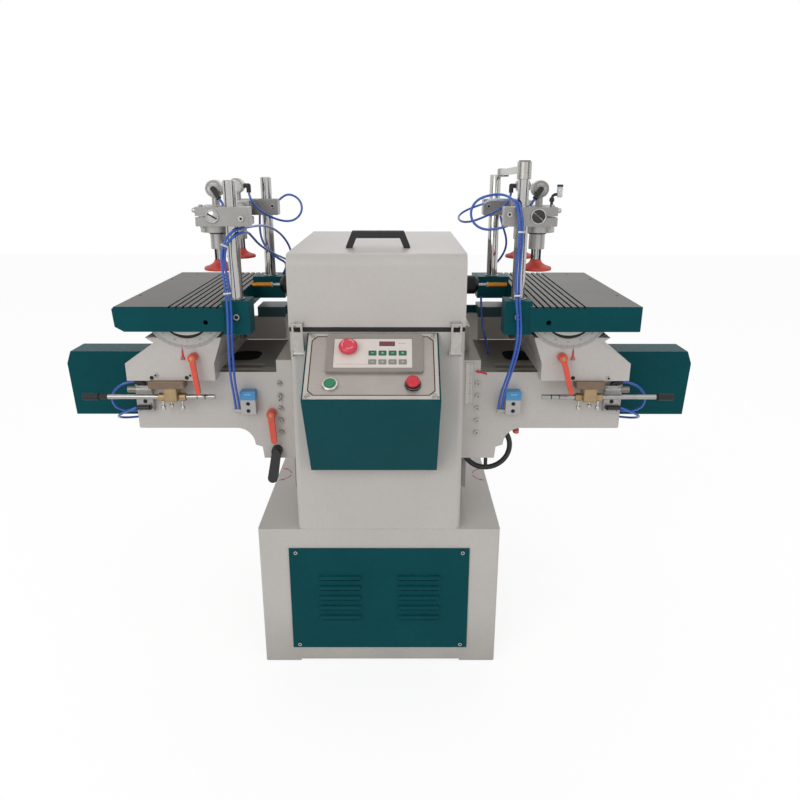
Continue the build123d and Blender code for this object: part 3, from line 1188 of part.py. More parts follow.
FEED_LOWER = [(609, -251, 712), (627, -253, 706), (646, -250, 697), (661, -240, 687), (668, -223, 677),
    (664, -204, 669), (651, -189, 664), (634, -180, 663), (619, -177, 663)]
LEFT_LONG = [(-361.5, -243, 707), (-361, -249, 727), (-359, -267, 757), (-356, -292, 791),
    (-352, -314, 831), (-348, -327, 874), (-346, -331, 917), (-344, -330, 961), (-345, -325, 1003),
    (-349, -319, 1043), (-353, -314, 1079), (-351, -310, 1110), (-341, -305, 1135), (-326, -294, 1151),
    (-311, -271, 1155), (-303, -236, 1154), (-298, -192, 1153), (-290, -142, 1151), (-280, -90, 1144),
    (-271, -40, 1131), (-263, 5, 1114), (-257, 50, 1092), (-254, 92, 1066), (-257, 128, 1038),
    (-266, 158, 1011), (-275, 175, 993), (-284, 188, 980.5)]
LEFT_TWIN = [(-352, -243, 707), (-352, -249, 727), (-351, -266, 755), (-348, -289, 789),
    (-344, -309, 829), (-341, -321, 873), (-339, -325, 917), (-337, -323, 961), (-338, -318, 1003),
    (-342, -312, 1043), (-347, -308, 1075), (-346, -304, 1103), (-338, -301, 1127), (-321, -292, 1141),
    (-308, -265, 1146), (-304, -232, 1142), (-302, -194, 1127), (-299, -148, 1108), (-295, -98, 1092),
    (-289, -46, 1077), (-281, 6, 1061), (-273, 54, 1049), (-267, 96, 1038), (-268, 132, 1022),
    (-275, 158, 1003), (-284, 171, 989), (-292, 180, 980.5)]
LEFT_BACK = [(-352, 43, 1221), (-349, 40, 1207), (-338, 38, 1191), (-323, 42, 1174), (-301, 54, 1159),
    (-276, 71, 1147), (-253, 82, 1144), (-236, 91, 1149), (-223, 99, 1162), (-218.5, 105, 1179),
    (-223, 109, 1196), (-236, 112, 1209), (-253, 114, 1215), (-269, 115, 1212), (-283, 115, 1200)]
LEFT_STUB = [(-366.4, -233.4, 1218), (-354, -238, 1201), (-344, -240, 1180), (-342, -239, 1158),
    (-346, -232, 1139), (-356, -224, 1125), (-366.7, -213.8, 1117.6)]
LEFT_DROP = [(-337, 101, 1159.4), (-338, 99, 1139), (-338, 96, 1117), (-334, 91, 1096), (-325, 87, 1077),
    (-311, 84, 1060), (-296, 84, 1047), (-283, 90, 1038), (-274, 103, 1030), (-273, 121, 1019),
    (-279, 139, 1004), (-288, 152, 990), (-295, 159, 980.5)]
FEED_HOSES = [FEED_UPPER, FEED_LOWER]
HOSES = {"left": [LEFT_LONG, LEFT_TWIN, LEFT_BACK, LEFT_STUB, LEFT_DROP],
         "right": [RIGHT_LONG, RIGHT_TWIN, RIGHT_TAIL, RIGHT_DROP]}


def hose(name, route):
    points = [Vector(*p) for p in route]
    runs = [b - a for a, b in zip(points, points[1:])]
    radii = []
    for before, after in zip(runs, runs[1:]):
        half_turn = radians(before.get_angle(after)) / 2
        radii.append(BEND_SHARE * min(before.length, after.length) / tan(half_turn))
    path = FilletPolyline(*points, radius=radii)
    section = Plane(origin=points[0], z_dir=runs[0]) * Circle(HOSE_R)
    tube = sweep(section, path=path)
    volume = HOSE_AREA * path.length
    print(name, "length", round(path.length), "least radius", round(min(radii), 1),
          "volume share", round(tube.volume / volume, 4))
    return tube


def hoses(side):
    turn = 1 if side == "right" else -1
    routes = HOSES[side] + [[(turn * x, y, z) for x, y, z in route] for route in FEED_HOSES]
    return Compound(children=[hose(f"{side} hose {i}", route) for i, route in enumerate(routes)])


def build_centre():
    save(base_cabinet(), "base_cabinet")
    save(louver_panel(), "louver_panel")
    save(cabinet_screws(), "cabinet_screws")
    save(column(), "column")
    save(hood_seal(), "hood_seal")
    save(hood(), "hood")
    save(hood_hinges(), "hood_hinges")
    save(hood_handle(), "hood_handle")
    save(latch_keepers(), "latch_keepers")
    save(latch(1), "right_latch")
    save(latch(-1), "left_latch")
    save(swing_rails(), "swing_rails")
    save(swing_carriage(), "swing_carriage")
    save(spindle_motor(), "spindle_motor")
    save(spindle(), "spindle")
    save(cutters(), "cutters")
    save(swing_gearmotor(), "swing_gearmotor")
    save(swing_crank(), "swing_crank")
    save(control_box(), "control_box")
    save(control_plate(), "control_plate")
    save(controller(), "controller")
    save(estop_button(), "estop_button")
    save(push_button("start"), "start_button")
    save(push_button("stop"), "stop_button")


def build_side(side):
    """All pieces are drawn for the right side; the left side is their mirror image."""
    right = side == "right"
    pieces = {
        "knee": knee(),
        "end_guard": end_guard(),
        "feed_cylinder": feed_cylinder(),
        "air_valves": air_valves(side),
        "saddle": saddle(),
        "stop_block": stop_block(),
        "stop_rod": stop_rod(),
        "trunnion": trunnion(),
        "table": table(not right),
        "clamp_posts": clamp_posts(right),
        "clamp_arms": clamp_arms(),
        "clamp_cylinders": clamp_cylinders(),
        "front_ram": ram(UNIT_Y_FRONT),
        "rear_ram": ram(UNIT_Y_REAR),
        "tilt_lever": lever(TILT_LEVER_X, TILT_LEVER_Z, SADDLE_Y0, TILT_LEVER_L,
                            TILT_LEVER_LEAN if right else -TILT_LEVER_LEAN),
    }
    if right:
        pieces["lock_lever"] = under_lever()
        pieces["handwheel"] = handwheel()
    else:
        pieces["lock_lever"] = lever(LOCK_LEVER_X, LOCK_LEVER_Z, KNEE_Y0, LOCK_LEVER_L, LOCK_LEVER_LEAN)
        pieces["lift_handle"] = lift_handle()
    for name, shape in pieces.items():
        save(shape if right else mirrored(shape), f"{side}_{name}")
    save(hoses(side), f"{side}_hoses")


build_centre()
for side in ("right", "left"):
    build_side(side)
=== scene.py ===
from math import acos, atan2, cos, hypot, pi, radians, sin

import bmesh
import bpy
from bpy.props import FloatProperty, FloatVectorProperty, IntProperty, PointerProperty
from mathutils import Matrix, Vector


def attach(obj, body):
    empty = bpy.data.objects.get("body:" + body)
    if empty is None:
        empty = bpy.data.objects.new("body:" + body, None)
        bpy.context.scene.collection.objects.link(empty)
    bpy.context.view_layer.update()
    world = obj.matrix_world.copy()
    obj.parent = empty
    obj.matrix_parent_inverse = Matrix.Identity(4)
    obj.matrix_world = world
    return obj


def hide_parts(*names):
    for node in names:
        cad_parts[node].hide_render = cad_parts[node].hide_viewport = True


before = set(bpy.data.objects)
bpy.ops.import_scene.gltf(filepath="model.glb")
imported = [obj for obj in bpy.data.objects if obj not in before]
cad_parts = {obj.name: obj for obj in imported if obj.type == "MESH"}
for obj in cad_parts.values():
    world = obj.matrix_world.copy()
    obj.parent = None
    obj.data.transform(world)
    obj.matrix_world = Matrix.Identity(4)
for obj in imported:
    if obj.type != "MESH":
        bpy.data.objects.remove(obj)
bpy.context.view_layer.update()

bl_info = {
    "name": "Double-ended mortise and tenon machine",
    "version": (1, 0, 0),
    "blender": (4, 5, 0),
    "location": "3D View > Sidebar > Mortiser",
    "description": "Paints, castings, hoses and fittings over the packed frame of a slot mortiser",
    "category": "Object",
}

# Places are written in millimetres, in the machine's frame: X along the spindle, Y to the back,
# Z up. The right side is drawn with positive X, and the left side is its mirror image.
MM = 0.001
SIDES = {"right": 1, "left": -1}

# Places that several pieces share
FRONT_POST = (333.0, -270.0)
REAR_POST = (318.0, 115.0)
POST_FOOT_Z = 985.0
CLAMP_X = 383
CLAMP_Y = {"front": -200, "rear": 43}
HEAD_Z = 1240
TILT_AXIS = (460, 976)
SADDLE_FRONT_Y = -270.0
KNEE_FRONT_Y = -230.0
TABLE_TOP_Z = 978.0


def linear(hexa):
    """An sRGB hex colour as linear red, green, blue and alpha."""
    parts = [int(hexa[k:k + 2], 16) / 255 for k in (0, 2, 4)]
    return [c / 12.92 if c <= 0.04045 else ((c + 0.055) / 1.055) ** 2.4 for c in parts] + [1.0]


def metres(*xyz):
    return Vector(xyz) * MM


# ---------------------------------------------------------------- settings
def colour(name, text, hexa):
    return FloatVectorProperty(name=name, description=text, subtype="COLOR", size=4, min=0, max=1,
                               default=linear(hexa))


class MortiserPaints(bpy.types.PropertyGroup):
    """Colours that a user would change"""
    casting: colour("Casting enamel", "Light grey enamel of the castings and sheet metal", "C7C2BD")
    panel: colour("Panel enamel", "Teal enamel of the tables, guards and panels", "084B51")
    hose: colour("Air hose", "Polyurethane air hose", "2057B8")
    pad: colour("Clamp pad", "Rubber of the clamp pads", "D24A3C")
    lever: colour("Lever", "Moulded clamping levers", "E0503A")


class MortiserSizes(bpy.types.PropertyGroup):
    """Sizes that a user would change"""
    hose_diameter: FloatProperty(name="Hose diameter", description="Outside diameter of the air hose",
                                 default=0.006, min=0.004, max=0.01, subtype="DISTANCE", unit="LENGTH")
    round_edge: FloatProperty(name="Edge radius", description="How round the painted edges look",
                              default=0.0018, min=0.0, max=0.006, subtype="DISTANCE", unit="LENGTH")
    tie_width: FloatProperty(name="Tie width", description="Width of the ties round the hoses",
                             default=0.004, min=0.002, max=0.008, subtype="DISTANCE", unit="LENGTH")
    scale_marks: IntProperty(name="Tilt marks", description="Marks on each tilt scale",
                             default=61, min=7, max=181)


class MortiserStage(bpy.types.PropertyGroup):
    """Light of the stage"""
    key_power: FloatProperty(name="Key light", description="Power of the large soft lamp", default=33.5,
                             min=0.0, max=400.0, unit="POWER")
    fill_power: FloatProperty(name="Fill light", description="Power of the two side lamps", default=9.0,
                              min=0.0, max=400.0, unit="POWER")
    room: FloatProperty(name="Room light", description="Strength of the room's even light", default=0.62,
                        min=0.0, max=2.0)


# ---------------------------------------------------------------- materials
def add(tree, kind, inputs=None, **settings):
    """Adds one node with its settings. Each input is a value, or the socket that feeds it."""
    made = tree.nodes.new(kind)
    for key, value in settings.items():
        setattr(made, key, value)
    for key, value in (inputs or {}).items():
        if isinstance(value, bpy.types.NodeSocket):
            tree.links.new(value, made.inputs[key])
        else:
            made.inputs[key].default_value = value
    return made


def maths(tree, operation, *values):
    """The result of one arithmetic node."""
    return add(tree, "ShaderNodeMath", dict(enumerate(values)), operation=operation).outputs[0]


def within(tree, place, boxes, soft):
    """1 inside any of the boxes, each a low and a high corner in mm, and 0 outside, over a soft edge."""
    nearest = None
    for low, high in boxes:
        middle = [(a + b) / 2 * MM for a, b in zip(low, high)]
        half = [(b - a) / 2 * MM for a, b in zip(low, high)]
        off = add(tree, "ShaderNodeVectorMath", {0: place, 1: middle}, operation="SUBTRACT")
        off = add(tree, "ShaderNodeVectorMath", {0: off.outputs[0]}, operation="ABSOLUTE")
        off = add(tree, "ShaderNodeVectorMath", {0: off.outputs[0], 1: half}, operation="SUBTRACT")
        xyz = add(tree, "ShaderNodeSeparateXYZ", {0: off.outputs[0]}).outputs
        far = maths(tree, "MAXIMUM", xyz[0], xyz[1])
        far = maths(tree, "MAXIMUM", far, xyz[2])
        if nearest is not None:
            far = maths(tree, "MINIMUM", nearest, far)
        nearest = far
    edge = soft * MM
    return add(tree, "ShaderNodeMapRange", {0: nearest, "From Min": -edge, "From Max": edge, "To Min": 1.0,
                                            "To Max": 0.0}).outputs[0]


def blended(tree, share, first, second, kind="FLOAT"):
    """A mix of two numbers or two colours."""
    slots = (2, 3, 0) if kind == "FLOAT" else (6, 7, 2)
    mixed = add(tree, "ShaderNodeMix", {0: share, slots[0]: first, slots[1]: second}, data_type=kind)
    return mixed.outputs[slots[2]]


def look(colour, metallic, roughness, drift, blotch, grain, **more):
    """One finish: its colour, how metallic and rough it is, how far its tone drifts, and the sizes in
    mm of its broad blotches and its fine grain. Grain under 2 mm wouldn't show, so none is finer."""
    return dict(colour=colour, metallic=metallic, roughness=roughness, drift=drift, blotch=blotch,
                grain=grain, **more)


def zone(hexa, *boxes, **more):
    """Another finish inside boxes, each a low and a high corner in mm, on both sides of the machine
    unless both is false. soft is half the width of its edge in mm."""
    return dict(hexa=hexa, boxes=boxes, **more)


# The table's slots, as boxes along Y that hold painted shade
SLOT_HALF = 2.7
SLOT_BOXES = [((x - SLOT_HALF, -303, 972), (x + SLOT_HALF, 263, 978.4))
              for x in [373 + 16.2 * k for k in range(8)]]

FINISHES = {
    # Sprayed enamel over filled castings: satin, a faint orange peel drawn at 7 mm because the real
    # 1 mm one is too fine to show, a painted highlight in pale patches along the edges, and darker towards
    # the floor
    "sprayed_grey_enamel": look("casting", 0.0, 0.42, 0.035, 160, 7, lumps=0.10, chip="D9D6D2",
                                soil=(150.0, "8C877F")),
    "sprayed_teal_enamel": look("panel", 0.0, 0.40, 0.09, 120, 7, lumps=0.10, chip="2F6D70", shine=0.08),
    # The knees: the same enamel, an oiled brown top with painted shade in its recesses, and bare screws on
    # the left
    "knee_casting": look("casting", 0.0, 0.45, 0.045, 140, 7, lumps=0.14, chip="D9D6D2", zones=[
        zone("5A5546", ((257, -228, 797.5), (617, 123, 801)), metallic=0.35, roughness=0.42, soft=2.0),
        # Painted shade in the pocket, the two grooves and the hollow under the top
        zone("1B1915", ((337, -120, 770), (397, -7, 800.5)), ((300, -223, 780), (602, -212, 800.6)),
             ((300, -189, 780), (602, -167, 800.6)), ((430, -140, 700), (612, -70, 798)),
             roughness=0.35, soft=2.5),
        zone("8B8474", ((300, -166, 797.5), (420, -141, 801)), ((300, -211, 797.5), (420, -190, 801)),
             metallic=0.3, roughness=0.4, soft=2.0),
        zone("A49C90", ((209, -229, 827), (257, 123, 833)), roughness=0.5, soft=1.0),
        zone("8E8B87", ((-257, -240, 560), (-244, -230.5, 790)), metallic=0.9, roughness=0.3, both=False)]),
    # The saddles: enamel, with a teal back edge and a bare feed rod
    "saddle_casting": look("casting", 0.0, 0.4, 0.04, 120, 7, lumps=0.12, chip="DEDBD7", zones=[
        zone("084B51", ((270, 118, 866.5), (366, 224, 900)), roughness=0.4),
        zone("A9A7A4", ((562, -120, 735), (770, -95, 755)), metallic=1.0, roughness=0.25)]),
    # The tables: teal sides, a grey ground iron top that shines softly, and painted shade in the slots
    "table_casting": look("panel", 0.0, 0.40, 0.09, 120, 5, lumps=0.12, chip="2F6D70", shine=0.08, zones=[
        zone("6B6865", ((359.6, -301.6, 977.4), (621.4, 261.6, 979)), metallic=0.35, roughness=0.42,
             soft=0.5),
        # Painted shade in the slots
        zone("34322F", *SLOT_BOXES, metallic=0.3, roughness=0.5)]),
    # Machined iron left bare: pale and matt
    "machined_trunnion": look("B7B4B0", 0.25, 0.42, 0.05, 40, 3, lumps=0.1, chip="DDDAD6"),
    "machined_hub_face": look("D9D6D1", 0.1, 0.4, 0.04, 20, 2, edge=False),
    # Rough castings out of sight: a thick coat over a coarse skin
    "fettled_iron_enamel": look("8F8C88", 0.0, 0.55, 0.1, 40, 4, lumps=0.3),
    "finned_motor_casting": look("5E6668", 0.3, 0.5, 0.1, 40, 3, lumps=0.25),
    # Turned steel: fine rings left by the tool
    "turned_steel": look("A9A7A4", 1.0, 0.32, 0.08, 25, 2, lumps=0.05, drawn=(6.0, 1.0, 6.0)),
    # Spindle steel with black chucks, and orange-gold coated cutters on bright shanks
    "spindle_and_chucks": look("8E8C89", 1.0, 0.3, 0.1, 20, 2, zones=[
        zone("252526", ((188, -110, 960), (262, -40, 1030)), metallic=0.7, roughness=0.42)]),
    "coated_carbide": look("C4822F", 0.85, 0.34, 0.18, 9, 2, zones=[
        zone("A3A19E", ((240, -100, 970), (283, -60, 1020)), metallic=1.0, roughness=0.25)]),
    # Bright zinc plate: a mottled cold shine
    "bright_zinc_plate": look("B4B1AC", 1.0, 0.30, 0.12, 14, 2),
    # Yellow and dull zinc: a brassy block, a brown bar, and the levers' screws
    "yellow_zinc_block": look("A8906C", 0.6, 0.4, 0.14, 14, 2.5),
    "dull_zinc_bar": look("806C5C", 0.3, 0.55, 0.14, 14, 2.5),
    "yellow_zinc_screw": look("B99A62", 0.9, 0.35, 0.12, 6, 2),
    # Green passivated zinc and bright nickel: a waxy dark green, and a clean cool shine
    "green_passivated_bolt": look("4C6E5C", 0.7, 0.4, 0.12, 8, 2),
    "thumb_screw_nickel": look("BDBAB5", 1.0, 0.25, 0.1, 8, 2),
    # Hard chrome: near a mirror, with sharp dark streaks
    "hard_chrome_post": look("B9B8B6", 1.0, 0.12, 0.05, 30, 3, lumps=0.02, edge=False),
    "hard_chrome_right_post": look("B9B8B6", 1.0, 0.12, 0.05, 30, 3, lumps=0.02, edge=False),
    "ram_chrome": look("B4B2AF", 1.0, 0.14, 0.05, 10, 2, edge=False),
    "button_ring_chrome": look("C9C8C6", 1.0, 0.12, 0.06, 10, 2, edge=False),
    "bright_end_face": look("B7B5B2", 1.0, 0.2, 0.08, 10, 2),
    # The stop rods: chrome with two engraved rings, and a matt black grip at the outer end
    "chrome_rod_rubber_grip": look("A19F9C", 1.0, 0.16, 0.08, 20, 2, edge=False, zones=[
        zone("171718", ((690.0, -280, 730), (740, -250, 760)), ((-740, -280, 730), (-672, -250, 760)),
             metallic=0.0, roughness=0.6, both=False),
        zone("4B4A48", ((428, -275, 735), (431, -255, 755)), ((448, -275, 735), (450, -255, 755)),
             metallic=1.0, roughness=0.4)]),
    # Black oxide: dark, with a low oily shine
    "black_oxide_steel": look("2A2A2B", 0.6, 0.38, 0.15, 12, 2),
    # Painted shade in the slit across the cross bar's end
    "dark_slit": look("3D3B39", 0.5, 0.45, 0.1, 10, 2),
    # Painted shade for the unlit bottoms of holes, screw sockets and pockets: matt black, and nearly without
    # shine over the pocket
    "socket_bottom": look("0D0D0E", 0.0, 0.7, 0.2, 6, 2, edge=False),
    "oil_wet_pocket": look("0B0A09", 0.0, 0.6, 0.2, 20, 3, edge=False, shine=0.05),
    # Tumbled and machined aluminium: pale, fine-grained, with a soft shine
    "machined_aluminium": look("989693", 0.8, 0.36, 0.07, 30, 2.5, lumps=0.10, chip="DDDCDA"),
    # The air cylinders: paler aluminium, with black nylon elbows
    "air_clamp_body": look("B0AEAB", 0.8, 0.36, 0.07, 30, 2.5, lumps=0.1, chip="DDDCDA", zones=[
        zone("18191B", ((340, 30, 1214), (363.4, 56, 1252)), ((360, -245, 1208), (392, -215.3, 1250)),
             metallic=0.0, roughness=0.42)]),
    # The valves: anodised bodies, light blue caps, black push-in fittings and a bronze silencer
    "air_valve_bodies": look("B3B1AE", 0.35, 0.4, 0.06, 20, 2.5, zones=[
        zone("4A93C6", ((300, -257, 732.6), (360, -229, 757)), metallic=0.0, roughness=0.35, soft=0.3),
        zone("17181A", ((582, -250, 768.3), (614, -232, 784)), ((566, -259, 703), (612, -246.3, 720)),
             metallic=0.0, roughness=0.42),
        zone("8F8A80", ((606.5, -252, 746), (632, -230, 768)), metallic=0.9, roughness=0.45)]),
    # Brushed aluminium plate, its bare edge and the rule: lines along X and a dull satin glow
    "brushed_name_plate": look("B2AAA4", 0.55, 0.38, 0.06, 60, 2.5, drawn=(0.05, 1.0, 1.0), chip="D8D4CF"),
    "bare_plate_edge": look("C6C1BB", 0.4, 0.4, 0.06, 30, 2.5, edge=False),
    "engraved_rule": look("C9C6C1", 0.35, 0.4, 0.04, 20, 2),
    # Printed and filled inks: flat, with no shine of their own
    "maroon_border_ink": look("4B2426", 0.0, 0.5, 0.1, 20, 2.5, edge=False),
    "red_rule_ink": look("C99A94", 0.0, 0.5, 0.05, 10, 2, edge=False),
    "green_key_ink": look("1D6B4C", 0.0, 0.42, 0.06, 10, 2),
    "grey_key_ink": look("8F8F8C", 0.0, 0.42, 0.06, 10, 2),
    "pale_key_mark": look("D5DAD4", 0.0, 0.5, 0.03, 10, 2, edge=False),
    "red_arrow_ink": look("B5303C", 0.0, 0.5, 0.12, 10, 2.5, edge=False),
    "rule_ink": look("3C3A38", 0.0, 0.5, 0.1, 10, 2, edge=False),
    "scale_ink": look("77746F", 0.0, 0.5, 0.1, 10, 2, edge=False),
    # Red enamel of the two kinds of pointer: a small bright gloss
    "red_pointer_enamel": look("C4323C", 0.0, 0.35, 0.08, 10, 2),
    "tilt_pointer_enamel": look("CE3A42", 0.0, 0.35, 0.08, 10, 2),
    # Polyester film and ABS bezel of the keypad: soft and even
    "keypad_film": look("E7DFD7", 0.0, 0.4, 0.03, 30, 2.5, edge=False),
    "grey_bezel_plastic": look("98908A", 0.0, 0.45, 0.05, 30, 2.5),
    # Tinted acrylic over a lit display: dark red and glossy, with brighter strokes
    "display_window": look("5A1420", 0.0, 0.12, 0.12, 12, 2, coat=0.6),
    "display_digit": look("A32533", 0.0, 0.3, 0.05, 10, 2, edge=False),
    # Moulded buttons: saturated, with a clear gloss
    "green_push_button": look("10824F", 0.0, 0.3, 0.08, 10, 2, coat=0.3),
    "red_push_button": look("D4152F", 0.0, 0.3, 0.08, 10, 2, coat=0.3),
    "mushroom_button": look("E0304A", 0.0, 0.3, 0.06, 14, 2, coat=0.35),
    "moulded_arrow_relief": look("F3919C", 0.0, 0.4, 0.04, 10, 2),
    # Moulded nylon: slightly rough, with a soft highlight, and a painted highlight in pale patches along the
    # red levers' edges
    "moulded_black_nylon": look("1D1E20", 0.0, 0.46, 0.12, 20, 2, lumps=0.12),
    "moulded_black_handle": look("1F2022", 0.0, 0.42, 0.12, 14, 2.5, lumps=0.2),
    "moulded_red_lever": look("lever", 0.0, 0.34, 0.08, 20, 2, lumps=0.08, coat=0.2, chip="F08A74"),
    "white_nylon": look("E9E9E6", 0.0, 0.45, 0.04, 8, 2, lumps=0.1),
    "blue_cap_rib": look("7DB2DC", 0.0, 0.4, 0.05, 10, 2),
    # Rubber: matt, with a fine skin; the pads' edges carry a painted highlight in pale patches
    "black_seal_rubber": look("161617", 0.0, 0.62, 0.15, 20, 2),
    "red_pad_rubber": look("pad", 0.0, 0.5, 0.12, 18, 2.5, lumps=0.15, chip="E8897B"),
    # Extruded polyurethane: smooth, with a wet-looking highlight along the hose
    "polyurethane_hose": look("hose", 0.0, 0.24, 0.10, 40, 3, lumps=0.03, coat=0.35, edge=False),
    # Polycarbonate cup: clear, with a faint blue edge
    "clear_cup": look("E9EDEE", 0.0, 0.08, 0.02, 10, 3, lumps=0.0, edge=False, see_through=0.8),
}
ROUGHNESS_SPREAD = 0.07


def paint(name, colour, metallic, roughness, drift, blotch, grain, lumps=0.06, drawn=(1.0, 1.0, 1.0),
          zones=(), edge=True, chip=None, coat=0.0, soil=None, see_through=0.0, shine=0.5):
    """A procedural finish on Object coordinates, from one row of the finishes.

    colour is a hex value or the name of a colour setting. lumps is the depth of the fine pattern, drawn
    stretches it into lines, edge rounds the corners' shading, the edge colour is that of a painted highlight
    in patches along the edges, and the foot darkening is a height in mm and the colour that a piece darkens
    to towards its foot.
    """
    material = bpy.data.materials.new(name)
    material.use_nodes = True
    tree = material.node_tree
    tree.nodes.clear()
    scene = bpy.context.scene
    base = list(getattr(scene.mortiser_paints, colour, None) or linear(colour))
    material.diffuse_color = base
    place = add(tree, "ShaderNodeTexCoord").outputs["Object"]
    apart = add(tree, "ShaderNodeSeparateXYZ", {0: place}).outputs
    outward = maths(tree, "ABSOLUTE", apart[0])
    either_side = add(tree, "ShaderNodeCombineXYZ", {0: outward, 1: apart[1], 2: apart[2]}).outputs[0]
    lines = add(tree, "ShaderNodeMapping", {"Vector": place, "Scale": drawn}).outputs[0]
    broad = add(tree, "ShaderNodeTexNoise", {"Vector": place, "Scale": 1000 / blotch,
                                             "Detail": 3.0}).outputs[0]
    fine = add(tree, "ShaderNodeTexNoise", {"Vector": lines, "Scale": 1000 / grain, "Detail": 4.0}).outputs[0]
    both = maths(tree, "ADD", broad, fine)
    shade = add(tree, "ShaderNodeMapRange", {0: both, "From Min": 0.7, "From Max": 1.3, "To Min": 1 - drift,
                                             "To Max": 1 + drift}).outputs[0]
    tone = base
    metal = metallic
    rough = add(tree, "ShaderNodeMapRange", {0: fine, "From Min": 0.3, "From Max": 0.7,
                                             "To Min": max(roughness - ROUGHNESS_SPREAD, 0.02),
                                             "To Max": roughness + ROUGHNESS_SPREAD}).outputs[0]
    for part in zones:
        share = within(tree, either_side if part.get("both", True) else place, part["boxes"],
                       part.get("soft", 0.4))
        tone = blended(tree, share, tone, linear(part["hexa"]), "RGBA")
        rough = blended(tree, share, rough, part["roughness"])
        if part.get("metallic", metallic) != metallic or metal != metallic:
            metal = blended(tree, share, metal, part.get("metallic", metallic))
    # Darker towards a piece's foot, in broad patches
    if soil:
        height, dark = soil
        low = add(tree, "ShaderNodeMapRange", {0: apart[2], "From Min": 0.0, "From Max": height * MM,
                                               "To Min": 0.75, "To Max": 0.0}).outputs[0]
        low = maths(tree, "MULTIPLY", low, broad)
        tone = blended(tree, low, tone, linear(dark), "RGBA")
    shader = add(tree, "ShaderNodeBsdfPrincipled")
    normal = None
    if edge:
        rounded = add(tree, "ShaderNodeBevel", {"Radius": scene.mortiser_sizes.round_edge}, samples=4)
        normal = rounded.outputs[0]
        # Painted highlight: a paler colour in patches along the edges, where the rounded normal turns away
        # from the flat one
        if chip:
            flat = add(tree, "ShaderNodeNewGeometry").outputs["Normal"]
            turn = add(tree, "ShaderNodeVectorMath", {0: normal, 1: flat}, operation="DOT_PRODUCT").outputs[1]
            lit_edge = add(tree, "ShaderNodeMapRange", {0: turn, "From Min": 0.985, "From Max": 0.8,
                                                    "To Min": 0.0, "To Max": 0.8}).outputs[0]
            patch = add(tree, "ShaderNodeMapRange", {0: both, "From Min": 0.85, "From Max": 1.1}).outputs[0]
            lit_edge = maths(tree, "MULTIPLY", lit_edge, patch)
            tone = blended(tree, lit_edge, tone, linear(chip), "RGBA")
    if isinstance(tone, list):
        tone = tone[:3]
    tone = add(tree, "ShaderNodeVectorMath", {0: tone, "Scale": shade}, operation="SCALE").outputs[0]
    bump = add(tree, "ShaderNodeBump", {"Height": fine, "Strength": lumps, "Distance": 0.0006})
    if normal is not None:
        tree.links.new(normal, bump.inputs["Normal"])
    for key, value in {"Base Color": tone, "Metallic": metal, "Roughness": rough, "Coat Weight": coat,
                       "Transmission Weight": see_through, "Specular IOR Level": shine,
                       "Normal": bump.outputs[0]}.items():
        if isinstance(value, bpy.types.NodeSocket):
            tree.links.new(value, shader.inputs[key])
        else:
            shader.inputs[key].default_value = value
    end = add(tree, "ShaderNodeOutputMaterial")
    tree.links.new(shader.outputs[0], end.inputs[0])
    return material


def finish(name):
    """The finish of that name, made at its first use."""
    return bpy.data.materials.get(name) or paint(name, **FINISHES[name])


# ---------------------------------------------------------------- shapes
def facing(along):
    """Turns local Z onto a direction."""
    return Vector(along).to_track_quat("Z", "Y").to_matrix().to_4x4()


def standing(at, along=(0, 0, 1)):
    return Matrix.Translation(metres(*at)) @ facing(along)


def turned(bm, profile, place, mat=0, steps=32, squeeze=(1.0, 1.0)):
    """A turned form: (radius, height) points in mm, spun about the Z axis of a place."""
    rings = []
    for radius, height in profile:
        count = 1 if radius < 1e-6 else steps
        ring = []
        for k in range(count):
            turn = 2 * pi * k / steps
            spot = metres(radius * cos(turn) * squeeze[0], radius * sin(turn) * squeeze[1], height)
            ring.append(bm.verts.new(place @ spot))
        rings.append(ring)
    for low, high in zip(rings, rings[1:]):
        for k in range(steps):
            quad = [low[k % len(low)], low[(k + 1) % len(low)],
                    high[(k + 1) % len(high)], high[k % len(high)]]
            corners = list(dict.fromkeys(quad))
            if len(corners) > 2:
                bm.faces.new(corners).material_index = mat


def ring(bm, inner, outer, low, high, place, mat=0, steps=40, soft=0.4, squeeze=(1.0, 1.0)):
    """A band with softened edges, open in the middle."""
    profile = [(inner + soft, low), (outer - soft, low), (outer, low + soft), (outer, high - soft),
               (outer - soft, high), (inner + soft, high), (inner, high - soft), (inner, low + soft),
               (inner + soft, low)]
    first = len(bm.verts)
    turned(bm, profile, place, mat, steps, squeeze)
    bm.verts.ensure_lookup_table()
    bmesh.ops.remove_doubles(bm, verts=bm.verts[first:], dist=1e-7)


def slab(bm, outline, low, high, place, mat=0, soft=0.5):
    """A flat outline in the X and Y of a place, from low to high along its Z, with softened edges."""
    under = [bm.verts.new(place @ metres(x, y, low)) for x, y in outline]
    over = [bm.verts.new(place @ metres(x, y, high)) for x, y in outline]
    faces = [bm.faces.new(under[::-1]), bm.faces.new(over)]
    for k in range(len(outline)):
        j = (k + 1) % len(outline)
        faces.append(bm.faces.new([under[k], under[j], over[j], over[k]]))
    for face in faces:
        face.material_index = mat
    if soft:
        edges = list({edge for face in faces for edge in face.edges})
        bmesh.ops.bevel(bm, geom=edges, offset=soft * MM, segments=2, affect="EDGES", clamp_overlap=True)


def box(bm, low, high, mat=0, soft=0.6, place=Matrix.Identity(4)):
    """A block between two corners, with softened edges."""
    outline = [(low[0], low[1]), (high[0], low[1]), (high[0], high[1]), (low[0], high[1])]
    slab(bm, outline, low[2], high[2], place, mat, soft)


def round_rect(width, height, radius, at=(0.0, 0.0), steps=4):
    """The outline of a rectangle with rounded corners."""
    points = []
    for k, (sx, sy) in enumerate(((1, 1), (-1, 1), (-1, -1), (1, -1))):
        for step in range(steps + 1):
            turn = radians(90 * k + 90 * step / steps)
            points.append((at[0] + sx * (width / 2 - radius) + radius * cos(turn),
                           at[1] + sy * (height / 2 - radius) + radius * sin(turn)))
    return points


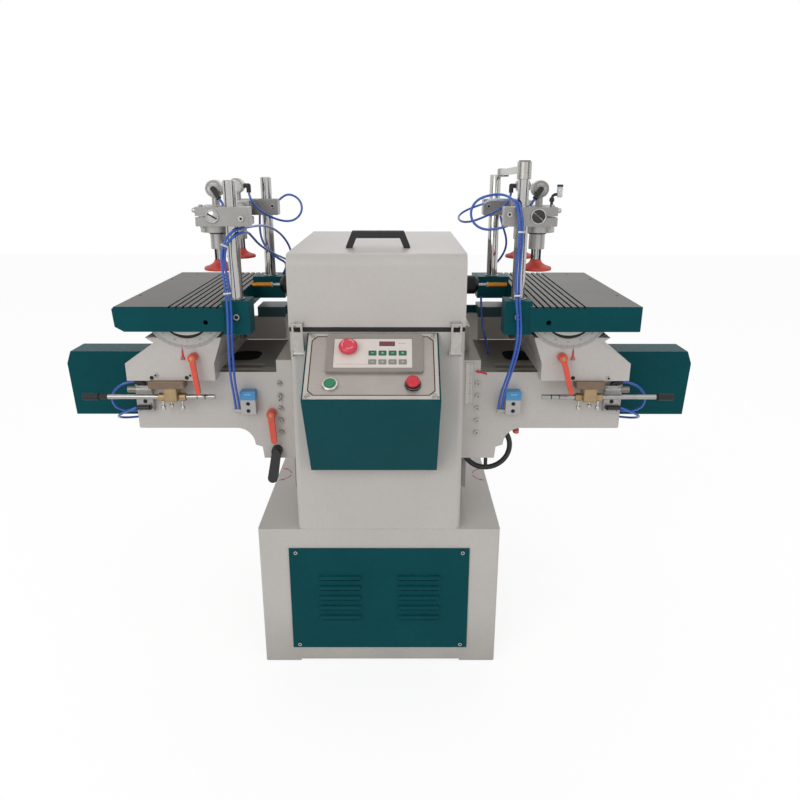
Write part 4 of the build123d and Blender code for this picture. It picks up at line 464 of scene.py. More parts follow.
def tapered(start, end, r0, r1, steps=10):
    """The outline of a bar with two round ends."""
    lean = atan2(end[1] - start[1], end[0] - start[0])
    far = hypot(end[0] - start[0], end[1] - start[1])
    side = acos((r0 - r1) / far)
    points = []
    for k in range(steps + 1):
        turn = lean + side + (2 * pi - 2 * side) * k / steps
        points.append((start[0] + r0 * cos(turn), start[1] + r0 * sin(turn)))
    for k in range(steps + 1):
        turn = lean - side + 2 * side * k / steps
        points.append((end[0] + r1 * cos(turn), end[1] + r1 * sin(turn)))
    return points


def stub(bm, shoulder, top, place, mat=0, steps=24):
    """A short turned pin on a place; its shoulder and its top edge are (radius, height) points."""
    turned(bm, [(0, 0), (shoulder[0], 0), shoulder, top, (0, top[1])], place, mat, steps)


def bent_rod(bm, points, radius, mat=0, steps=14):
    """A rod through points in mm, with closed ends."""
    spots = [metres(*p) for p in points]
    rings = []
    for k, spot in enumerate(spots):
        before = spots[max(k - 1, 0)]
        after = spots[min(k + 1, len(spots) - 1)]
        turn = facing(after - before)
        rings.append([bm.verts.new(spot + turn @ metres(radius * cos(2 * pi * n / steps),
                                                        radius * sin(2 * pi * n / steps), 0))
                      for n in range(steps)])
    for low, high in zip(rings, rings[1:]):
        shift = min(range(steps), key=lambda n: (high[n].co - low[0].co).length)
        for n in range(steps):
            bm.faces.new([low[n], low[(n + 1) % steps], high[(n + 1 + shift) % steps],
                          high[(n + shift) % steps]]).material_index = mat
    bm.faces.new(rings[0][::-1]).material_index = mat
    bm.faces.new(rings[-1]).material_index = mat


def upright(x, y, z):
    """A place at a point in mm whose X and Y run to the right and up, and whose Z faces the front."""
    return Matrix.Translation(metres(x, y, z)) @ Matrix.Rotation(radians(90), 4, "X")


def arc(radius, turns, centre=(0.0, 0.0)):
    """Points of a circle at angles in radians."""
    return [(centre[0] + radius * cos(turn), centre[1] + radius * sin(turn)) for turn in turns]


SMOOTH_UNDER = radians(38.0)


def piece(name, bm, finishes, body, replaces=(), mirror=False):
    """Turns a drawn shape into an object that rides a body and takes its finishes."""
    if mirror:
        bmesh.ops.scale(bm, vec=(-1, 1, 1), verts=bm.verts)
    bmesh.ops.recalc_face_normals(bm, faces=bm.faces)
    mesh = bpy.data.meshes.new(name)
    bm.to_mesh(mesh)
    bm.free()
    return dress(bpy.data.objects.new(name, mesh), finishes, body, replaces)


def side_piece(side, name, bm, finishes, body, slot, *nodes):
    """A piece of one side, drawn on the right; it may stand for CAD nodes of that side."""
    return piece(f"{side}_{name}", bm, finishes, f"{side}_{body}", [f"{side}_{node}" for node in nodes],
                 mirror=side == "left")


def dress(made, finishes, body, replaces=()):
    """Shades a mesh, adds its finishes after those that it has, and ties it to the frame."""
    if made.name not in bpy.context.scene.collection.objects:
        bpy.context.scene.collection.objects.link(made)
    made.data.shade_smooth()
    made.data.set_sharp_from_angle(angle=SMOOTH_UNDER)
    for name in finishes:
        made.data.materials.append(finish(name))
    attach(made, body)
    if replaces:
        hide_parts(*replaces)
    return made


# ---------------------------------------------------------------- repeated pieces
def new_tree(name, numbers, materials):
    """A Geometry Nodes tree with a geometry input, named number inputs and material inputs."""
    tree = bpy.data.node_groups.new(name, "GeometryNodeTree")
    tree.interface.new_socket("Geometry", in_out="INPUT", socket_type="NodeSocketGeometry")
    for label, kind, default in numbers:
        socket = tree.interface.new_socket(label, in_out="INPUT", socket_type=kind)
        socket.default_value = default
    for label in materials:
        tree.interface.new_socket(label, in_out="INPUT", socket_type="NodeSocketMaterial")
    tree.interface.new_socket("Geometry", in_out="OUTPUT", socket_type="NodeSocketGeometry")
    return tree, add(tree, "NodeGroupInput").outputs


def close_tree(tree, geometry):
    add(tree, "NodeGroupOutput", {0: geometry})
    return tree


def screw_tree():
    """Socket screws on the points that come in."""
    if "socket_screws" in bpy.data.node_groups:
        return bpy.data.node_groups["socket_screws"]
    tree, given = new_tree("socket_screws", [
        ("Head radius", "NodeSocketFloat", 0.005), ("Head height", "NodeSocketFloat", 0.004),
        ("Sides", "NodeSocketInt", 24), ("Socket share", "NodeSocketFloat", 0.55),
        ("Turn", "NodeSocketVector", (0.0, 0.0, 0.0))], ["Head", "Socket"])
    head = add(tree, "GeometryNodeMeshCylinder", {"Vertices": given["Sides"], "Radius": given["Head radius"],
                                                  "Depth": given["Head height"]}, fill_type="NGON")
    half = maths(tree, "MULTIPLY", given["Head height"], 0.5)
    lift = add(tree, "ShaderNodeCombineXYZ", {2: half}).outputs[0]
    raised = add(tree, "GeometryNodeTransform", {"Geometry": head.outputs["Mesh"], "Translation": lift})
    rim = add(tree, "GeometryNodeExtrudeMesh", {"Mesh": raised.outputs[0], "Selection": head.outputs["Top"],
                                                "Offset Scale": 0.0, "Individual": False}, mode="FACES")
    shrunk = add(tree, "GeometryNodeScaleElements", {"Geometry": rim.outputs["Mesh"],
                                                     "Selection": rim.outputs["Top"],
                                                     "Scale": given["Socket share"]})
    down = maths(tree, "MULTIPLY", given["Head height"], -0.55)
    socket = add(tree, "GeometryNodeExtrudeMesh", {"Mesh": shrunk.outputs[0], "Selection": rim.outputs["Top"],
                                                   "Offset Scale": down, "Individual": False}, mode="FACES")
    set_on = add(tree, "GeometryNodeInstanceOnPoints", {"Points": given["Geometry"],
                                                        "Instance": socket.outputs["Mesh"],
                                                        "Rotation": given["Turn"]})
    real = add(tree, "GeometryNodeRealizeInstances", {0: set_on.outputs[0]})
    coated = add(tree, "GeometryNodeSetMaterial", {"Geometry": real.outputs[0], "Material": given["Head"]})
    # Painted shade in the sockets: their floors take the near-black finish
    dark = add(tree, "GeometryNodeSetMaterial", {"Geometry": coated.outputs[0],
                                                 "Selection": socket.outputs["Top"],
                                                 "Material": given["Socket"]})
    return close_tree(tree, dark.outputs[0])


def mark_tree():
    """Graduation marks on the points that come in; each fifth one is longer. Marks stand round the
    Y axis by a fixed step, or side by side where that step is zero."""
    if "graduation_marks" in bpy.data.node_groups:
        return bpy.data.node_groups["graduation_marks"]
    tree, given = new_tree("graduation_marks", [
        ("Mark width", "NodeSocketFloat", 0.0005), ("Mark length", "NodeSocketFloat", 0.003),
        ("Mark height", "NodeSocketFloat", 0.0003), ("First turn", "NodeSocketFloat", 0.0),
        ("Step turn", "NodeSocketFloat", 0.05)], ["Ink"])
    size = add(tree, "ShaderNodeCombineXYZ", {0: given["Mark length"], 1: given["Mark height"],
                                              2: given["Mark width"]}).outputs[0]
    block = add(tree, "GeometryNodeMeshCube", {"Size": size}).outputs["Mesh"]
    number = add(tree, "GeometryNodeInputIndex").outputs[0]
    fifth = maths(tree, "MODULO", number, 5.0)
    long_one = maths(tree, "LESS_THAN", fifth, 0.5)
    longer = maths(tree, "MULTIPLY_ADD", long_one, 0.8, 1.0)
    stretch = add(tree, "ShaderNodeCombineXYZ", {0: longer, 1: 1.0, 2: 1.0}).outputs[0]
    turn = maths(tree, "MULTIPLY_ADD", number, given["Step turn"], given["First turn"])
    lean = add(tree, "ShaderNodeCombineXYZ", {1: turn}).outputs[0]
    set_on = add(tree, "GeometryNodeInstanceOnPoints", {"Points": given["Geometry"], "Instance": block,
                                                        "Rotation": lean, "Scale": stretch})
    real = add(tree, "GeometryNodeRealizeInstances", {0: set_on.outputs[0]})
    inked = add(tree, "GeometryNodeSetMaterial", {"Geometry": real.outputs[0], "Material": given["Ink"]})
    return close_tree(tree, inked.outputs[0])


def repeated(name, tree, points, values, body):
    """Runs a tree on points in mm, and keeps the result as a plain mesh that rides a body."""
    mesh = bpy.data.meshes.new(name + "_points")
    mesh.from_pydata([metres(*p) for p in points], [], [])
    made = bpy.data.objects.new(name, mesh)
    bpy.context.scene.collection.objects.link(made)
    modifier = made.modifiers.new("repeat", "NODES")
    modifier.node_group = tree
    names = {item.name: item.identifier for item in tree.interface.items_tree if item.in_out == "INPUT"}
    for label, value in values.items():
        modifier[names[label]] = value
    held = bpy.context.evaluated_depsgraph_get()
    whole = bpy.data.meshes.new_from_object(made.evaluated_get(held), preserve_all_data_layers=True,
                                            depsgraph=held)
    made.modifiers.remove(modifier)
    made.data = whole
    whole.name = name
    bpy.data.meshes.remove(mesh)
    return dress(made, (), body)


TO_FRONT = (radians(90), 0.0, 0.0)
TO_TOP = (0.0, 0.0, 0.0)
TO_FLOOR = (radians(180), 0.0, 0.0)


def screws(name, points, body, radius, height, turn=TO_FRONT, sides=24, share=0.55,
           metal="bright_zinc_plate"):
    """Screw heads at points in mm; share is how much of a head its socket takes."""
    return repeated(name, screw_tree(), points, {
        "Head radius": radius * MM, "Head height": height * MM, "Sides": sides, "Socket share": share,
        "Turn": turn, "Head": finish(metal), "Socket": finish("socket_bottom")}, body)


def mirrored(points, side):
    return [(x * SIDES[side], y, z) for x, y, z in points]


def side_screws(side, name, points, body, **sizes):
    """Screw heads of one side, at points that are written for the right."""
    return screws(f"{side}_{name}", mirrored(points, side), f"{side}_{body}", **sizes)


# ---------------------------------------------------------------- castings and sheet metal
# Finish of each CAD node that keeps its solid
COATS = {
    "sprayed_grey_enamel": ("base_cabinet", "column", "hood"),
    "sprayed_teal_enamel": ("louver_panel", "control_box", "right_end_guard", "left_end_guard",
                            "swing_gearmotor"),
    "bright_zinc_plate": ("hood_hinges", "latch_keepers", "right_latch", "left_latch", "cabinet_screws"),
    "turned_steel": ("swing_rails", "swing_crank"),
    "black_seal_rubber": ("hood_seal",),
    "moulded_black_nylon": ("hood_handle", "right_handwheel"),
    "brushed_name_plate": ("control_plate",),
    "grey_bezel_plastic": ("controller",),
    "fettled_iron_enamel": ("swing_carriage",),
    "finned_motor_casting": ("spindle_motor",),
    "spindle_and_chucks": ("spindle",),
    "coated_carbide": ("cutters",),
    "hard_chrome_post": ("left_clamp_posts",),
}
SIDE_COATS = {
    "knee_casting": ("knee",),
    "saddle_casting": ("saddle",),
    "table_casting": ("table",),
    "machined_trunnion": ("trunnion",),
    "machined_aluminium": ("clamp_arms", "feed_cylinder"),
    "air_clamp_body": ("clamp_cylinders",),
    "air_valve_bodies": ("air_valves",),
    "chrome_rod_rubber_grip": ("stop_rod",),
}


def coat_node(name, material):
    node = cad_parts[name]
    node.data.materials.clear()
    node.data.materials.append(material)
    for polygon in node.data.polygons:
        polygon.material_index = 0


class MORTISER_OT_castings(bpy.types.Operator):
    """Finish of every casting, guard, shaft and panel that keeps its solid"""
    bl_idname = "mortiser.castings"
    bl_label = "Castings and sheet metal"

    def execute(self, context):
        for name, nodes in COATS.items():
            for node in nodes:
                coat_node(node, finish(name))
        for name, nodes in SIDE_COATS.items():
            for node in nodes:
                for side in SIDES:
                    coat_node(f"{side}_{node}", finish(name))
        return {"FINISHED"}


# ---------------------------------------------------------------- air hoses
# Routes in metres, from the clamp frame down to the knee. Each is one smooth curve.
HOSES = {
    "right_hose_long": ("right_tilt_table", 1.222, "limp", [
        (.352, .043, 1.221), (.349, .039, 1.207), (.338, .032, 1.192), (.320, .024, 1.180),
        (.295, .017, 1.168), (.269, .013, 1.157), (.246, .016, 1.149), (.227, .030, 1.146),
        (.216, .051, 1.149), (.214, .076, 1.157), (.226, .098, 1.167), (.249, .110, 1.177),
        (.272, .102, 1.186), (.287, .071, 1.194), (.284, .016, 1.200), (.285, -.026, 1.205),
        (.286, -.072, 1.209), (.288, -.118, 1.212), (.291, -.162, 1.214), (.296, -.204, 1.216),
        (.303, -.240, 1.217), (.312, -.268, 1.220), (.321, -.295, 1.212), (.327, -.306, 1.186),
        (.330, -.308, 1.158), (.330, -.310, 1.126), (.328, -.312, 1.088), (.326, -.315, 1.046),
        (.328, -.319, 1.004), (.333, -.323, .962), (.336, -.325, .918), (.332, -.320, .874),
        (.324, -.307, .830), (.317, -.287, .790), (.313, -.266, .756), (.3125, -.250, .729),
        (.3125, -.243, .707)]),
    "right_hose_twin": ("right_tilt_table", 0.892, "medium", [
        (.3664, -.2334, 1.218), (.354, -.238, 1.201), (.341, -.240, 1.183), (.324, -.239, 1.167),
        (.303, -.235, 1.156), (.281, -.228, 1.150), (.259, -.221, 1.147), (.240, -.214, 1.152),
        (.226, -.208, 1.165), (.221, -.204, 1.184), (.226, -.204, 1.203), (.240, -.208, 1.218),
        (.259, -.216, 1.225), (.278, -.229, 1.229), (.295, -.249, 1.228), (.307, -.273, 1.221),
        (.316, -.298, 1.209), (.319, -.309, 1.184), (.322, -.314, 1.157), (.322, -.315, 1.126),
        (.320, -.317, 1.088), (.318, -.320, 1.046), (.320, -.324, 1.004), (.325, -.328, .962),
        (.328, -.330, .918), (.324, -.325, .874), (.316, -.312, .830), (.309, -.291, .790),
        (.304, -.268, .756), (.303, -.251, .729), (.303, -.243, .707)]),
    "right_hose_tail": ("right_tilt_table", 0.210, "medium", [
        (.334, .101, 1.1588), (.337, .098, 1.142), (.345, .098, 1.121), (.354, .105, 1.097),
        (.357, .121, 1.070), (.349, .138, 1.043), (.333, .150, 1.019), (.316, .158, .998),
        (.307, .162, .9798)]),
    "right_hose_drop": ("right_tilt_table", 0.203, "medium", [
        (.286, .083, .936), (.286, .074, .915), (.286, .054, .890), (.286, .028, .867),
        (.288, -.002, .849), (.291, -.032, .833), (.295, -.054, .816), (.297, -.062, .801)]),
    "left_hose_long": ("left_tilt_table", 1.023, "medium", [
        (-.3615, -.243, .707), (-.361, -.249, .727), (-.359, -.267, .757), (-.356, -.292, .791),
        (-.352, -.314, .831), (-.348, -.327, .874), (-.346, -.331, .917), (-.344, -.330, .961),
        (-.345, -.325, 1.003), (-.349, -.319, 1.043), (-.353, -.314, 1.079), (-.351, -.310, 1.110),
        (-.341, -.305, 1.135), (-.326, -.294, 1.151), (-.311, -.271, 1.155), (-.303, -.236, 1.154),
        (-.298, -.192, 1.153), (-.290, -.142, 1.151), (-.280, -.090, 1.144), (-.271, -.040, 1.131),
        (-.263, .005, 1.114), (-.257, .050, 1.092), (-.254, .092, 1.066), (-.257, .128, 1.038),
        (-.266, .158, 1.011), (-.275, .175, .993), (-.284, .188, .9805)]),
    "left_hose_twin": ("left_tilt_table", 0.982, "limp", [
        (-.352, -.243, .707), (-.352, -.249, .727), (-.351, -.266, .755), (-.348, -.289, .789),
        (-.344, -.309, .829), (-.341, -.321, .873), (-.339, -.325, .917), (-.337, -.323, .961),
        (-.338, -.318, 1.003), (-.342, -.312, 1.043), (-.347, -.308, 1.075), (-.346, -.304, 1.103),
        (-.338, -.301, 1.127), (-.321, -.292, 1.141), (-.308, -.265, 1.146), (-.304, -.232, 1.142),
        (-.302, -.194, 1.127), (-.299, -.148, 1.108), (-.295, -.098, 1.092), (-.289, -.046, 1.077),
        (-.281, .006, 1.061), (-.273, .054, 1.049), (-.267, .096, 1.038), (-.268, .132, 1.022),
        (-.275, .158, 1.003), (-.284, .171, .989), (-.292, .180, .9805)]),
    "left_hose_back": ("left_clamp_frame", 0.289, "limp", [
        (-.352, .043, 1.221), (-.349, .040, 1.207), (-.338, .038, 1.191), (-.323, .042, 1.174),
        (-.301, .054, 1.159), (-.276, .071, 1.147), (-.253, .082, 1.144), (-.236, .091, 1.149),
        (-.223, .099, 1.162), (-.2185, .105, 1.179), (-.223, .109, 1.196), (-.236, .112, 1.209),
        (-.253, .114, 1.215), (-.269, .115, 1.212), (-.283, .115, 1.200)]),
    "left_hose_stub": ("left_clamp_frame", 0.123, "medium", [
        (-.3664, -.2334, 1.218), (-.354, -.238, 1.201), (-.344, -.240, 1.180), (-.342, -.239, 1.158),
        (-.346, -.232, 1.139), (-.356, -.224, 1.125), (-.3667, -.2138, 1.1176)]),
    "left_hose_drop": ("left_tilt_table", 0.242, "medium", [
        (-.337, .101, 1.1594), (-.338, .099, 1.139), (-.338, .096, 1.117), (-.334, .091, 1.096),
        (-.325, .087, 1.077), (-.311, .084, 1.060), (-.296, .084, 1.047), (-.283, .090, 1.038),
        (-.274, .103, 1.030), (-.273, .121, 1.019), (-.279, .139, 1.004), (-.288, .152, .990),
        (-.295, .159, .9805)]),
}
FEED_HOSES = {
    "feed_hose_upper": (0.181, [
        (.611, -.240, .776), (.631, -.241, .775), (.651, -.242, .766), (.667, -.241, .750),
        (.675, -.236, .729), (.673, -.227, .708), (.661, -.214, .693), (.642, -.200, .686),
        (.6196, -.190, .685)]),
    "feed_hose_lower": (0.156, [
        (.609, -.251, .712), (.627, -.253, .706), (.646, -.250, .697), (.661, -.240, .687),
        (.668, -.223, .677), (.664, -.204, .669), (.651, -.189, .664), (.634, -.180, .663),
        (.619, -.177, .663)]),
}


def air_hose(name, points, body, node):
    """One hose along its route; both of its ends go into the machine."""
    diameter = bpy.context.scene.mortiser_sizes.hose_diameter
    curve = bpy.data.curves.new(name, "CURVE")
    curve.dimensions = "3D"
    curve.bevel_depth = diameter / 2
    curve.bevel_resolution = 4
    curve.use_fill_caps = True
    spline = curve.splines.new("NURBS")
    spline.points.add(len(points) - 1)
    for spot, xyz in zip(spline.points, points):
        spot.co = (*xyz, 1.0)
    spline.order_u = 3
    spline.use_endpoint_u = True
    spline.resolution_u = 8
    made = bpy.data.objects.new(name, curve)
    bpy.context.scene.collection.objects.link(made)
    curve.materials.append(finish("polyurethane_hose"))
    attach(made, body)
    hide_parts(node)


class MORTISER_OT_hoses(bpy.types.Operator):
    """Blue air hoses, from the clamp frames to the valves on the knees"""
    bl_idname = "mortiser.hoses"
    bl_label = "Air hoses"

    def execute(self, context):
        for name, (body, length, stiffness, points) in HOSES.items():
            air_hose(name, points, body, f"{name.split('_')[0]}_hoses")
        for side in SIDES:
            for name, (length, points) in FEED_HOSES.items():
                air_hose(f"{side}_{name}", mirrored(points, side), f"{side}_knee_slide", f"{side}_hoses")
        return {"FINISHED"}


# Name, middle, direction along the hoses, and direction from one hose to the other
TIES = (
    ("right_tie_top", (326.0, -311.5, 1150.0), (0, 0.05, 1), (8, 6, 0)),
    ("right_tie_low", (323.6, -321.4, 1008.0), (0, 0.1, 1), (8, 5, 0)),
    ("left_tie_top", (-344.4, -305.3, 1118.0), (0.38, 0.17, 0.91), (-6.8, -6.3, 0)),
    ("left_tie_low", (-342.3, -320.2, 1012.0), (-0.1, 0.15, 1), (-7, -7, 0)),
)


class MORTISER_OT_ties(bpy.types.Operator):
    """White ties that hold the two long hoses of each side together"""
    bl_idname = "mortiser.ties"
    bl_label = "Hose ties"

    def execute(self, context):
        half = context.scene.mortiser_sizes.tie_width / MM / 2
        for name, at, along, across in TIES:
            lift = Vector(along).normalized()
            wide = Vector(across)
            wide = (wide - wide.dot(lift) * lift).normalized()
            turn = Matrix((wide, lift.cross(wide), lift)).transposed().to_4x4()
            place = Matrix.Translation(metres(*at)) @ turn
            bm = bmesh.new()
            ring(bm, 7.2, 8.6, -half, half, place, squeeze=(1.0, 0.5))
            box(bm, (6.4, -3.0, -half - 0.6), (10.6, 3.0, half + 0.6), soft=0.7, place=place)
            piece(name, bm, ["white_nylon"], f"{name.split('_')[0]}_tilt_table")
        return {"FINISHED"}


# ---------------------------------------------------------------- control panel
# The plate's own frame: U to the right, V up the slope, W out of it
PANEL_COS, PANEL_SIN = 0.8204, 0.5718
PANEL_PLACE = Matrix(((1, 0, 0, -0.010), (0, PANEL_COS, -PANEL_SIN, -0.3925),
                      (0, PANEL_SIN, PANEL_COS, 0.8605), (0, 0, 0, 1)))
PLATE_TOP = 2.0
PAD_FLOOR = 7.25
FILM_TOP = PAD_FLOOR + 0.5
KEY_TOP = PAD_FLOOR + 1.3
WINDOW_TOP = 8.0
ESTOP_AT = (-55.0, 43.0)
START_AT = (-92.0, -57.0)
STOP_AT = (92.0, -57.0)
PLATE_SCREWS = ((-144.5, -91.5), (137.0, -91.5), (146.5, -91.5), (-144.5, 91.0), (142.5, 91.0))
FILM = (-88.0, 91.4, -13.2, 74.4)
ESTOP_HOLE = 12.8
RING_PROFILE = [(13.0, 0.2), (18.6, 0.2), (18.9, 1.2), (18.4, 5.2), (17.2, 6.5), (15.6, 6.9), (13.9, 6.6),
                (13.0, 5.6), (13.0, 0.2)]
START_PROFILE = [(0, -9), (12.4, -9), (12.4, 9.4), (11.8, 10.7), (10.4, 11.0), (9.6, 10.6), (0, 10.3)]
STOP_PROFILE = [(0, -9), (12.4, -9), (12.4, 12.4), (15.4, 12.8), (15.8, 14.2), (15.0, 17.6), (12.8, 19.4),
                (0, 20.0)]
MUSHROOM_PROFILE = [(0, -16.8), (11.6, -16.8), (11.6, 13.2), (18.6, 13.2), (21.4, 14.6), (22.0, 17.0),
                    (21.6, 20.0), (19.8, 22.8), (16.8, 24.6), (13.4, 25.2), (10.8, 24.6), (0, 24.2)]


def cut_corners(hx, hy, cut):
    """The outline of a rectangle of two half sizes with its corners cut off."""
    return [(hx, -hy + cut), (hx, hy - cut), (hx - cut, hy), (-hx + cut, hy), (-hx, hy - cut),
            (-hx, -hy + cut), (-hx + cut, -hy), (hx - cut, -hy)]


def on_panel(at, out=0):
    return PANEL_PLACE @ Matrix.Translation(metres(*at, out))


class MORTISER_OT_controls(bpy.types.Operator):
    """Plate border, keypad with its keys and display, push buttons and the mushroom stop button"""
    bl_idname = "mortiser.controls"
    bl_label = "Control panel"

    def execute(self, context):
        self.plate()
        self.keypad()
        self.buttons()
        return {"FINISHED"}

    def plate(self):
        bm = bmesh.new()
        band = cut_corners(142.0, 87.5, 13.0)
        for outer, inner, high, mat in ((band, cut_corners(139.4, 84.9, 12.0), 0.25, 0),
                                        (cut_corners(149.6, 96.2, 0.4), band, 0.2, 1)):
            for k in range(8):
                j = (k + 1) % 8
                slab(bm, [outer[k], outer[j], inner[j], inner[k]], PLATE_TOP, PLATE_TOP + high, PANEL_PLACE,
                     mat, 0)
        piece("plate_border", bm, ["maroon_border_ink", "bare_plate_edge"], "machine")
        spots = [tuple(PANEL_PLACE @ metres(u, v, PLATE_TOP) / MM) for u, v in PLATE_SCREWS]
        screws("plate_screws", spots, "machine", radius=3.6, height=2.0, share=0.4,
               turn=(atan2(PANEL_SIN, PANEL_COS), 0.0, 0.0))

    def keypad(self):
        bm = bmesh.new()
        x0, x1, y0, y1 = FILM
        hx, hy = ESTOP_AT
        for low, high in (((x0, y0), (x1, hy - ESTOP_HOLE)), ((x0, hy - ESTOP_HOLE), (hx - ESTOP_HOLE, y1)),
                          ((hx + ESTOP_HOLE, hy - ESTOP_HOLE), (x1, y1)),
                          ((hx - ESTOP_HOLE, hy + ESTOP_HOLE), (hx + ESTOP_HOLE, y1))):
            box(bm, (*low, PAD_FLOOR), (*high, FILM_TOP), 0, 0, PANEL_PLACE)
        for u in (-82, -40):
            box(bm, (u, -2.4, FILM_TOP), (u + 39, -1.5, FILM_TOP + 0.15), 1, 0, PANEL_PLACE)
        piece("keypad_film", bm, ["keypad_film", "red_rule_ink"], "machine")
        # Two rows of four keys, each with a bar, crossed on every second key
        bm = bmesh.new()
        for k in range(4):
            u = 0.6 + 23.0 * k
            for v, mat in ((30.8, 0), (4.6, 1)):
                slab(bm, round_rect(18.1, 14.6, 1.6, (u, v)), PAD_FLOOR + 0.1, KEY_TOP, PANEL_PLACE, mat,
                     0.25)
                slab(bm, round_rect(6.5, 1.3, 0.5, (u, v)), KEY_TOP, KEY_TOP + 0.12, PANEL_PLACE, 2, 0)
                if k % 2:
                    slab(bm, round_rect(1.3, 6.5, 0.5, (u, v)), KEY_TOP, KEY_TOP + 0.12, PANEL_PLACE, 2, 0)
        piece("keypad_keys", bm, ["green_key_ink", "grey_key_ink", "pale_key_mark"], "machine")
        # Four zeros behind the window
        bm = bmesh.new()
        slab(bm, round_rect(36.4, 14.4, 1.0, (33.8, 59.2)), 5.6, WINDOW_TOP, PANEL_PLACE, 0, 0.3)
        for k in range(4):
            u = 20.3 + 7.6 * k
            for low, high in (((u, 54.6), (u + 0.7, 63.8)), ((u + 3.4, 54.6), (u + 4.1, 63.8)),
                              ((u, 54.6), (u + 4.1, 55.3)), ((u, 63.1), (u + 4.1, 63.8))):
                box(bm, (*low, WINDOW_TOP), (*high, WINDOW_TOP + 0.1), 1, 0, PANEL_PLACE)
        piece("display_window", bm, ["display_window", "display_digit"], "machine")
        bm = bmesh.new()
        for k in range(3):
            box(bm, (60 + 6 * k, 59.4, FILM_TOP), (64 + 6 * k, 60.8, FILM_TOP + 0.12), 0, 0, PANEL_PLACE)
        piece("keypad_lamps_ink", bm, ["grey_key_ink"], "machine")

    def buttons(self):
        for name, at, metal in (("start", START_AT, "button_ring_chrome"),
                                ("stop", STOP_AT, "moulded_black_nylon")):
            bm = bmesh.new()
            turned(bm, RING_PROFILE, on_panel(at, PLATE_TOP), steps=48)
            bmesh.ops.remove_doubles(bm, verts=bm.verts, dist=1e-7)
            piece(f"{name}_ring", bm, [metal], "machine")
        for name, at, colour, profile, steps in (("start", START_AT, "green", START_PROFILE, 32),
                                                 ("stop", STOP_AT, "red", STOP_PROFILE, 40)):
            bm = bmesh.new()
            turned(bm, profile, on_panel(at), steps=steps)
            piece(f"{name}_cap", bm, [f"{colour}_push_button"], name, [f"{name}_button"])
        # The mushroom's three raised arcs
        bm = bmesh.new()
        turned(bm, MUSHROOM_PROFILE, on_panel(ESTOP_AT), steps=56)
        for k in range(3):
            turns = [radians(120 * k + 12 + 9.5 * step) for step in range(9)]
            slab(bm, arc(11.6, turns) + arc(15.4, turns[::-1]), 24.3, 25.7, on_panel(ESTOP_AT), 1, 0.3)
        piece("mushroom_cap", bm, ["mushroom_button", "moulded_arrow_relief"], "estop",
              ["estop_button"])


# ---------------------------------------------------------------- hood and cabinet
class MORTISER_OT_hood_fittings(bpy.types.Operator):
    """Screws of the latch keepers on the hood, and the sheet guards beside the column"""
    bl_idname = "mortiser.hood_fittings"
    bl_label = "Hood fittings"

    def execute(self, context):
        for side, sign in SIDES.items():
            x = 185 * sign
            screws(f"{side}_keeper_screws", [(x - 9.5, -312.0, 938.3), (x + 9.5, -312.0, 938.3)], "hood_lid",
                   radius=3.4, height=3.2, share=0.45)
            bm = bmesh.new()
            box(bm, (206.0, 226.0, 774.0), (304.0, 229.0, 859.0), 0, 0.6)
            box(bm, (206.0, 226.0, 859.0), (304.0, 229.0, 884.0), 1, 0.6)
            piece(f"{side}_way_guard", bm, ["sprayed_grey_enamel", "sprayed_teal_enamel"], "machine",
                  mirror=side == "left")
        return {"FINISHED"}


def arrow_arc(bm, centre, radius, first, last, place):
    """A curved arrow, flat on a surface: a thin arc with a head at one end."""
    turns = [radians(first + (last - first) * k / 8) for k in range(9)]
    slab(bm, arc(radius - 1.6, turns, centre) + arc(radius + 1.6, turns[::-1], centre), 0, 0.3, place, 0, 0)
    turn = radians(last)
    tip = radians(last + (20 if last > first else -20))
    slab(bm, arc(radius - 5, [turn], centre) + arc(radius + 5, [turn], centre) + arc(radius, [tip], centre),
         0, 0.3, place, 0, 0)


class MORTISER_OT_cabinet_fittings(bpy.types.Operator):
    """Screw heads of the louvred panel and the red double arrows on the cabinet top"""
    bl_idname = "mortiser.cabinet_fittings"
    bl_label = "Cabinet fittings"

    def execute(self, context):
        screws("panel_screw_heads", [(x, -316.0, z) for x in (-217.0, 217.0) for z in (55.5, 335.5)],
               "machine", radius=5.0, height=0.8)
        for side in SIDES:
            bm = bmesh.new()
            for first, last in ((172.0, 128.0), (188.0, 232.0)):
                arrow_arc(bm, (322.0, 36.0), 48.0, first, last, Matrix.Translation(metres(0, 0, 402.0)))
            piece(f"{side}_turn_arrows", bm, ["red_arrow_ink"], "machine",
                  mirror=side == "left")
        return {"FINISHED"}


# ---------------------------------------------------------------- knees
GIB_ROWS = (771.0, 738.0, 705.0, 672.0, 639.0)
LIMIT_VALVE_X = {"right": 319.0, "left": 308.0}
# Painted shade over the mouth of the pocket, a dark sheet wider than the pocket's own opening: its middle,
# width and depth
POCKET_MOUTH = {"right": ((373.0, -63.0), 76.0, 102.0), "left": ((364.5, -65.0), 79.0, 98.0)}
POINTER_OUTLINE = [(242, 801.5), (251, 806.5), (251, 803.5), (262, 801), (272, 797), (272, 792), (262, 796),
                   (251, 798), (251, 796)]


